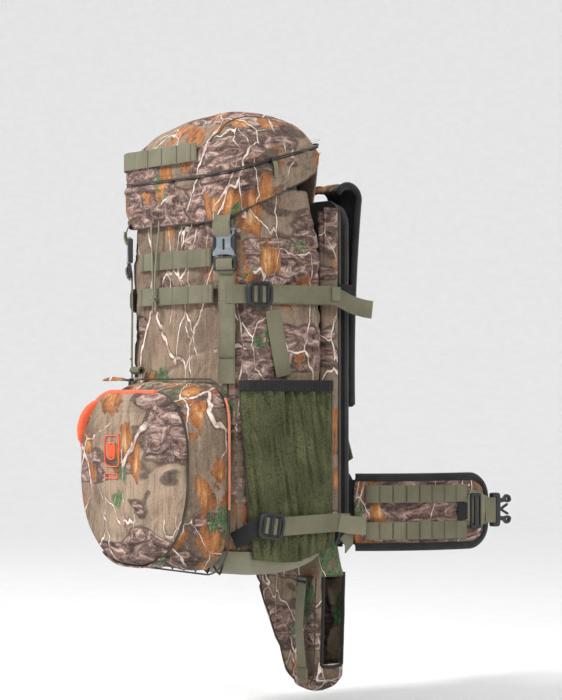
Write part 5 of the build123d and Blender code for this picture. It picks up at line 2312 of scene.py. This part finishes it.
def wing_rim(side, radius):
    """Along the wing's upper edge, round its tip and back along its lower edge."""
    reach = 0.186
    corner = 0.030
    points = []
    limit = math.degrees(math.asin((reach - corner - WING_CENTRE.y) / WING_ARC))
    for k in range(34):
        points.append(
            wing_point(
                side, WING_START + 1 + (limit - WING_START - 1) * k / 33, radius, BELT_HIGH - 0.001
            )
        )
    for k in range(1, 20):
        turn = math.pi / 2 * k / 20
        y = reach - corner + corner * math.sin(turn)
        degrees = math.degrees(math.asin((y - WING_CENTRE.y) / WING_ARC))
        points.append(
            wing_point(side, degrees, radius, BELT_HIGH - 0.001 - corner * (1 - math.cos(turn)))
        )
    for k in range(20):
        turn = math.pi / 2 * (1 - k / 20)
        y = reach - corner + corner * math.sin(turn)
        degrees = math.degrees(math.asin((y - WING_CENTRE.y) / WING_ARC))
        points.append(
            wing_point(side, degrees, radius, BELT_LOW + 0.001 + corner * (1 - math.cos(turn)))
        )
    for k in range(34):
        points.append(
            wing_point(side, limit + (WING_START + 1 - limit) * k / 33, radius, BELT_LOW + 0.001)
        )
    return points


def hip_frame(side, out=0.0):
    """A matrix on the belt's end: x along the belt, y up or down and z outwards."""
    degrees = WING_TIP + 2.2
    outward = wing_out(side, degrees)
    turn = math.radians(degrees)
    along = Vector((-side * math.sin(turn), math.cos(turn), 0))
    return axes(
        wing_point(side, degrees, WING_ARC + 0.0065, BELT_MIDDLE) + outward * out, along, outward
    )


for side, label in SIDES:
    wing_body = "wing_" + label

    def wing_seam(point):
        return max(
            gauss(abs(point.z - BELT_MIDDLE), 0.042, 0.004),
            0.8 * gauss(point.z, BELT_MIDDLE, 0.003)
        )

    def wing_pick(centre, normal, hand=side):
        away = Vector((centre.x - hand * WING_CENTRE.x, centre.y - WING_CENTRE.y, 0)).normalized()
        return 0 if normal.dot(away) > 0.0 else 1

    # The wing's outer face takes the shaded copy of the camo: painted shade.
    padded_cloth(
        "hip_pad_" + label, "hip_wing_" + label, 0.005, wing_seam, wing_body, [CAMO_SHADED, SPACER],
        wing_pick, cap=0.0035, inset=0.0016
    )
    tube(
        "hip_rim_" + label, wing_rim(side, WING_ARC + 0.0010), 0.0048, BINDING, wing_body, flat=1.25
    )
    rows = []
    for number, z in enumerate(BELT_ROWS):
        degrees = [WING_START + 4 + (WING_TIP - WING_START - 12.5) * k / 110 for k in range(111)]
        path = [wing_point(side, d, WING_ARC + 0.0068, z) for d in degrees]
        normals = [wing_out(side, d) for d in degrees]
        total = math.radians(degrees[-1] - degrees[0]) * (WING_ARC + 0.0068)
        tacks = [total * k / 8 for k in range(1, 8)]
        rows.append(
            looped_webbing(
                "hip_loops_%s_%d" % (label, number), path, normals, LOOP_WIDTH, tacks, OLIVE,
                wing_body, rise=0.0042
            )
        )
        for lift in (-0.0165, 0.0165):
            edge = [wing_point(side, d, WING_ARC + 0.0056, z + lift) for d in degrees]
            rows.append(
                stitches(
                    "hip_stitch_%s_%d_%d" % (label, number, lift > 0), edge, normals, THREAD,
                    wing_body
                )
            )
    loops = merge("hip_molle_" + label, rows)
    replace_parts(loops, "wing_molle_" + label)

    # Wide webbing folded at a slant over the wing's end, with its slide and an elastic square.
    wide = []
    for number, (z, width, first, last, tilt, lift) in enumerate((
        (BELT_MIDDLE + 0.004, 0.044, WING_TIP - 9.0, WING_TIP - 1.3, 0.30, 0.0092),
        (BELT_MIDDLE - 0.001, 0.038, WING_TIP - 9.5, WING_TIP - 0.4, 0.0, 0.0073),
    )):
        path, sides = [], []
        for k in range(26):
            share = k / 25
            d = first + (last - first) * share
            path.append(
                wing_point(
                    side, d, WING_ARC + lift + 0.0012 * math.sin(share * 5 + number),
                    z + 0.010 * tilt * (0.5 - share) * 4
                )
            )
            sides.append(
                Vector((0, 0, 1)) + tilt * Vector(
                    (-side * math.sin(math.radians(d)), math.cos(math.radians(d)), 0)
                )
            )
        wide.append(
            ribbon(
                "belt_web_%s_%d" % (label, number), path, sides, width, 0.0018,
                OLIVE if number else OLIVE_LIGHT, wing_body
            )
        )
    webbing = merge("belt_web_" + label, wide)
    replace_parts(webbing, "belt_webbing_" + label)
    square = [
        wing_point(side, WING_TIP - 12.2 + 3.4 * k / 8, WING_ARC + 0.0105, BELT_MIDDLE)
        for k in range(9)
    ]
    ribbon("belt_elastic_" + label, square, (0, 0, 1), 0.024, WEB_THICK, BLACK_WEB, wing_body)

    low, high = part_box("belt_triglide_" + label)
    d = WING_TIP - 6
    turn = math.radians(d)
    place = axes(
        wing_point(side, d, WING_ARC + 0.0128, BELT_MIDDLE),
        (-side * math.sin(turn), math.cos(turn), 0), wing_out(side, d)
    )
    slide = moulded(
        "belt_slide_" + label, [
            rectangle(0.0185, high.z - low.z, 0, 0, 0.003),
            rectangle(0.0040, high.z - low.z - 0.010, -0.0045, 0, 0.001),
            rectangle(0.0040, high.z - low.z - 0.010, 0.0045, 0, 0.001)
        ],
        0.0036, place, PLASTIC, wing_body, bevel=0.0009,
    )
    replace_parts(slide, "belt_triglide_" + label)

    # Cloth that joins the wing's root to the lumbar pad.
    verts = []
    for row in range(20):
        z = BELT_LOW + 0.004 + (BELT_HIGH - BELT_LOW - 0.008) * row / 19
        for k in range(22):
            t = k / 21
            a = Vector((side * 0.086, -0.0105, z))
            b = wing_point(side, WING_START + 5.0, WING_ARC + 0.001, z)
            point = a.lerp(b, t)
            puff = 0.0040 * math.sin(math.pi * t) * (
                1 + 0.4 * noise.noise(Vector((z * 60, t * 4, side)))
            )
            verts.append(point + Vector((side * 0.5, -0.8, 0)) * puff)
    root = piece("wing_root_" + label, verts, grid_faces(20, 22, False), BINDING, None)
    thicken(root, 0.0030)
    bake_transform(root)

# Hip buckle: the two-pronged plug on the wearer's right and its socket on the left.
plug = [
    moulded(
        "hip_plug_body",
        [
            rounded(
                [
                    (-0.002, -0.0240), (0.012, -0.0240), (0.014, -0.018), (0.014, 0.018),
                    (0.012, 0.0240), (-0.002, 0.0240)
                ],
                0.003
            ),
            rectangle(0.0040, 0.036, 0.0025, 0, 0.001)
        ],
        0.0088, hip_frame(1), PLASTIC, "belt_plug", bevel=0.0014,
    )
]
for turn in (1, -1):
    plug.append(
        moulded(
            "hip_plug_prong_%d" % turn,
            [
                rounded(
                    [
                        (0.012, turn * 0.0085), (0.012, turn * 0.0150), (0.024, turn * 0.0165),
                        (0.030, turn * 0.0215), (0.037, turn * 0.0190), (0.0395, turn * 0.0120),
                        (0.034, turn * 0.0090), (0.024, turn * 0.0105)
                    ],
                    0.0022
                ),
                rounded(
                    [
                        (0.0285, turn * 0.0130), (0.0285, turn * 0.0165), (0.0335, turn * 0.0170),
                        (0.0350, turn * 0.0135)
                    ],
                    0.001
                ),
            ],
            0.0058, hip_frame(1), PLASTIC, "belt_plug", bevel=0.0012,
        )
    )
    plug.append(
        moulded(
            "hip_plug_guide_%d" % turn,
            [
                rounded(
                    [
                        (0.012, turn * 0.0010), (0.012, turn * 0.0050), (0.026, -turn * 0.0020),
                        (0.033, -turn * 0.0050), (0.033, -turn * 0.0085), (0.026, -turn * 0.0055)
                    ],
                    0.001
                )
            ],
            0.0040, hip_frame(1, 0.0004 * turn), PLASTIC, "belt_plug", bevel=0.0009,
        )
    )
plug = merge("hip_plug", plug)
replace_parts(plug, "hip_buckle_plug")
socket_outline = rounded(
    [
        (-0.002, -0.0240), (0.030, -0.0240), (0.038, -0.019), (0.038, 0.019), (0.030, 0.0240),
        (-0.002, 0.0240)
    ],
    0.004
)
socket = [
    moulded(
        "hip_socket_front",
        [
            socket_outline, rectangle(0.013, 0.010, 0.026, 0.0135, 0.003),
            rectangle(0.013, 0.010, 0.026, -0.0135, 0.003),
            rectangle(0.004, 0.036, 0.0025, 0, 0.001)
        ],
        0.0030, hip_frame(-1, 0.0050), PLASTIC, "belt_socket", bevel=0.0011
    ),
    moulded(
        "hip_socket_back", [socket_outline, rectangle(0.004, 0.036, 0.0025, 0, 0.001)], 0.0030,
        hip_frame(-1, -0.0050), PLASTIC, "belt_socket", bevel=0.0011
    ),
    moulded(
        "hip_socket_core", [rectangle(0.010, 0.044, 0.0105, 0, 0.003)], 0.0100, hip_frame(-1),
        PLASTIC, "belt_socket", bevel=0.0012
    ),
    moulded(
        "hip_socket_rail", [rectangle(0.020, 0.0050, 0.024, 0, 0.002)], 0.0100, hip_frame(-1),
        PLASTIC, "belt_socket", bevel=0.0012
    ),
]
socket = merge("hip_socket", socket)
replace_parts(socket, "hip_buckle_socket")
for side, label, body in ((1, "right", "belt_plug"), (-1, "left", "belt_socket")):
    root = hip_frame(side)
    path = [
        root @ Vector((x, 0, z))
        for x, z in (
            (-0.016, 0.0015), (-0.008, 0.0042), (-0.001, 0.0052), (0.003, 0.0030), (0.0032, 0.0)
        )
    ]
    tie = ribbon("belt_turn_" + label, smooth_path(path, 6), (0, 0, 1), 0.0355, 0.0018, OLIVE, None)
    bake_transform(tie)

# --- Rifle boot -------------------------------------------------------------
boot_low, boot_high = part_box("rifle_boot")
BOOT_BACK, BOOT_FRONT = boot_high.y, boot_low.y
BOOT_TOP, BOOT_DROP = -0.005, 0.1665
SLOT_FOOT_Z = -0.132
SLOT_BACK_Y, SLOT_FRONT_Y = -0.0150, -0.0480


def boot_edges(z):
    """The boot's left and right at one height, both in metres."""
    left_line = (
        (-0.005, -0.077), (-0.080, -0.036), (-0.146, 0.002), (-0.166, 0.024), (-0.172, 0.037)
    )
    right_line = (
        (-0.005, 0.0975), (-0.080, 0.0950), (-0.150, 0.0915), (-0.166, 0.074), (-0.172, 0.063)
    )
    out = []
    for line in (left_line, right_line):
        for (z1, x1), (z2, x2) in zip(line, line[1:]):
            if z >= z2 or (z2, x2) == line[-1]:
                t = max(0.0, min(1.0, (z1 - z) / (z1 - z2)))
                out.append(x1 + (x2 - x1) * t)
                break
    return out


def boot_cloth():
    columns = plan_columns(56, 24, 10)
    count = len(columns)
    rows = 84
    verts = []
    for row in range(rows):
        t = row / (rows - 1)
        z = BOOT_TOP - BOOT_DROP * t
        left, right = boot_edges(z)
        tuck = 0.012 * max(0.0, (t - 0.93) / 0.07) ** 2
        half_x = (right - left) / 2 - 0.0008
        half_y = (BOOT_BACK - BOOT_FRONT) / 2 - 0.0010 - tuck
        for column in columns:
            nx, ny = column[2], column[3]
            x, y = plan_point(column, half_x, half_y, 0.011, (BOOT_BACK + BOOT_FRONT) / 2)
            x += (left + right) / 2
            point = (x, y, z)
            sag = -0.0026 + 0.0026 * rough_noise(point, (16, 16, 14), 6.0)
            fold = rough_noise((x + 0.6 * z, y, z - 0.3 * x), (10, 10, 22), 1.7)
            sag -= 0.0030 * ridge(fold, 7)
            if ny < -0.5:
                sag -= 0.0040 * math.sin(math.pi * min(1, max(0, (x - left) / (right - left))))
            verts.append((x + nx * sag, y + ny * sag, z))
    faces = []
    for face in grid_faces(rows, count, True):
        centre = Vector((0, 0, 0))
        for index in face:
            centre += Vector(verts[index]) / 4
        left, right = boot_edges(centre.z)
        opened = centre.x > right - 0.008 and centre.z > SLOT_FOOT_Z
        opened = opened and SLOT_FRONT_Y < centre.y < SLOT_BACK_Y
        if not opened:
            faces.append(face)
    last = (rows - 1) * count
    faces.append(tuple(last + i for i in range(count)))
    # The boot takes the gusset copy of the camo, painted darker as shade.
    cloth = piece("boot_cloth", verts, faces, CAMO_GUSSET, "boot")
    cloth.data.materials.append(LINING)
    thicken(cloth, 0.0022)
    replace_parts(cloth, "rifle_boot")


boot_cloth()
for number, y in enumerate((-0.0490, -0.0145)):
    edge = []
    for k in range(50):
        z = -0.004 - 0.129 * k / 49
        left, right = boot_edges(z)
        edge.append(
            Vector((right - 0.0030 + 0.0012 * noise.noise(Vector((z * 40, number, 0))), y, z))
        )
    tube("boot_slot_binding_%d" % number, edge, 0.0026, BINDING, "boot")
foot = [
    Vector(
        (
            boot_edges(-0.134)[1] - 0.003, -0.0490 + 0.0345 * k / 8,
            -0.1335 - 0.002 * math.sin(math.pi * k / 8)
        )
    )
    for k in range(9)
]
tube("boot_slot_foot", foot, 0.0026, BINDING, "boot")
boot_tree = BVHTree.FromObject(
    bpy.data.objects["boot_cloth"], bpy.context.evaluated_depsgraph_get()
)
for number, inset in enumerate((0.0120, -0.0110)):
    seam = []
    for k in range(60):
        z = -0.012 - 0.148 * k / 59
        hit = boot_tree.ray_cast(
            Vector((boot_edges(z)[number] + inset, BOOT_FRONT - 0.05, z)), Vector((0, 1, 0))
        )[0]
        if hit and hit.y < BOOT_FRONT + 0.016:
            seam.append(hit)
    tube("boot_seam_%d" % number, seam, 0.0011, SEAM_DARK, "boot")


def boot_skirt():
    """Cloth from the boot's top to the channel behind the bag."""
    columns = plan_columns(56, 20, 8)
    rows = 22
    verts = []
    for row in range(rows):
        t = row / (rows - 1)
        z = -0.010 + 0.074 * t
        left = -0.078 - 0.034 * t**0.7
        right = 0.0965 + 0.0185 * t**0.7
        y_front = BOOT_FRONT + 0.0022 - 0.0035 * t
        y_back = BOOT_BACK - 0.0022 - 0.0330 * t**0.6
        for column in columns:
            nx, ny = column[2], column[3]
            x, y = plan_point(
                column, (right - left) / 2, (y_back - y_front) / 2, 0.008, (y_front + y_back) / 2
            )
            x += (left + right) / 2
            wave = 0.0020 * rough_noise((x, y, z), (18, 18, 20), 3.5) - 0.0014
            verts.append((x + nx * wave, y + ny * wave, z))
    # The skirt under the bag takes the shaded copy of the camo: painted shade.
    skirt = piece("boot_skirt", verts, grid_faces(rows, len(columns), True), CAMO_SHADED, None)
    thicken(skirt, FLAP_THICK)
    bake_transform(skirt)


boot_skirt()
bx = 0.064
bow = smooth_path(
    [
        (bx, BOOT_FRONT - 0.0036, -0.010), (bx, BOOT_FRONT - 0.0044, -0.026),
        (bx - 0.004, BOOT_FRONT - 0.0050, -0.055), (bx - 0.006, BOOT_FRONT - 0.0046, -0.085),
        (bx - 0.002, BOOT_FRONT - 0.0040, -0.120), (bx + 0.002, BOOT_FRONT - 0.0034, -0.1565)
    ], 10,
)
run = ribbon("boot_run", bow, (1, 0, 0), 0.0195, WEB_THICK, OLIVE_LIGHT, "boot")
keeper_path = smooth_path(
    [
        (bx - 0.011, BOOT_FRONT - 0.0038, -0.143), (bx - 0.008, BOOT_FRONT - 0.0062, -0.143),
        (bx + 0.010, BOOT_FRONT - 0.0062, -0.143), (bx + 0.014, BOOT_FRONT - 0.0038, -0.143)
    ],
    5
)
keeper = ribbon("boot_keeper", keeper_path, (0, 0, 1), 0.0125, 0.0014, OLIVE, "boot")
webbing = merge("boot_webbing", [run, keeper])
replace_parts(webbing, "boot_strap")
clamp_low, clamp_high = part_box("boot_clamp")
clamp_mid = (clamp_low + clamp_high) / 2
clamp = [
    moulded(
        "boot_clamp_plate",
        [
            rectangle(0.0255, 0.0175, 0, 0, 0.003), rectangle(0.0205, 0.0028, 0, 0.0042, 0.001),
            rectangle(0.0205, 0.0028, 0, -0.0035, 0.001)
        ],
        0.0042, axes(clamp_mid, (1, 0, 0), (0, -1, 0)), PLASTIC, "boot", bevel=0.0010
    ),
    tube(
        "boot_clamp_bar",
        [
            Vector((clamp_mid.x - 0.012 + 0.024 * k / 6, clamp_low.y + 0.0006, clamp_mid.z))
            for k in range(7)
        ],
        0.0020, PLASTIC, "boot"
    ),
]
clamp = merge("boot_clamp_body", clamp)
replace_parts(clamp, "boot_clamp")

# --- Stage and light --------------------------------------------------------
# The floor is flat near the pack and curves up into a bowl beyond, so that no horizon shows.
FLOOR_Z = CAD_LOW.z - 0.03
FLAT_REACH = 4
FLOOR_REACHES = (0.0, 0.5, 1, 2, 3, 4, 4.6, 5.2, 5.8, 6.4, 7.0, 7.6, 8.2, 8.8, 9.4, 10.0)
floor_verts, floor_ring = [], 96
for reach in FLOOR_REACHES:
    rise = 0.0 if reach < FLAT_REACH else 0.16 * (reach - FLAT_REACH) ** 2
    for k in range(floor_ring):
        turn = 2 * math.pi * k / floor_ring
        floor_verts.append(
            (max(reach, 0.001) * math.cos(turn), max(reach, 0.001) * math.sin(turn), FLOOR_Z + rise)
        )
floor = piece(
    "floor", floor_verts, grid_faces(len(FLOOR_REACHES), floor_ring, True),
    cloth_finish("pale_floor", (0.90, 0.90, 0.90), (0.93, 0.93, 0.93), roughness=0.95), None,
)

WORLD_STRENGTH = 0.95
world = bpy.data.worlds.new("studio")
world.use_nodes = True
bpy.context.scene.world = world
backdrop = world.node_tree.nodes["Background"]
backdrop.inputs["Color"].default_value = (1.0, 1.0, 1.0, 1.0)
backdrop.inputs["Strength"].default_value = WORLD_STRENGTH


LIGHT_AIM = Vector((0, -0.1, 0.3))


def area_light(name, place, size, power):
    data = bpy.data.lights.new(name, "AREA")
    data.shape = "DISK"
    data.size = size
    data.energy = power
    lamp = bpy.data.objects.new(name, data)
    lamp.location = place
    lamp.rotation_euler = (LIGHT_AIM - Vector(place)).to_track_quat("-Z", "Y").to_euler()
    bpy.context.scene.collection.objects.link(lamp)


area_light("key_light", (-0.6, -2.4, 2.3), size=0.8, power=95)
area_light("side_light", (2.9, -0.6, 1.6), size=1.0, power=30)
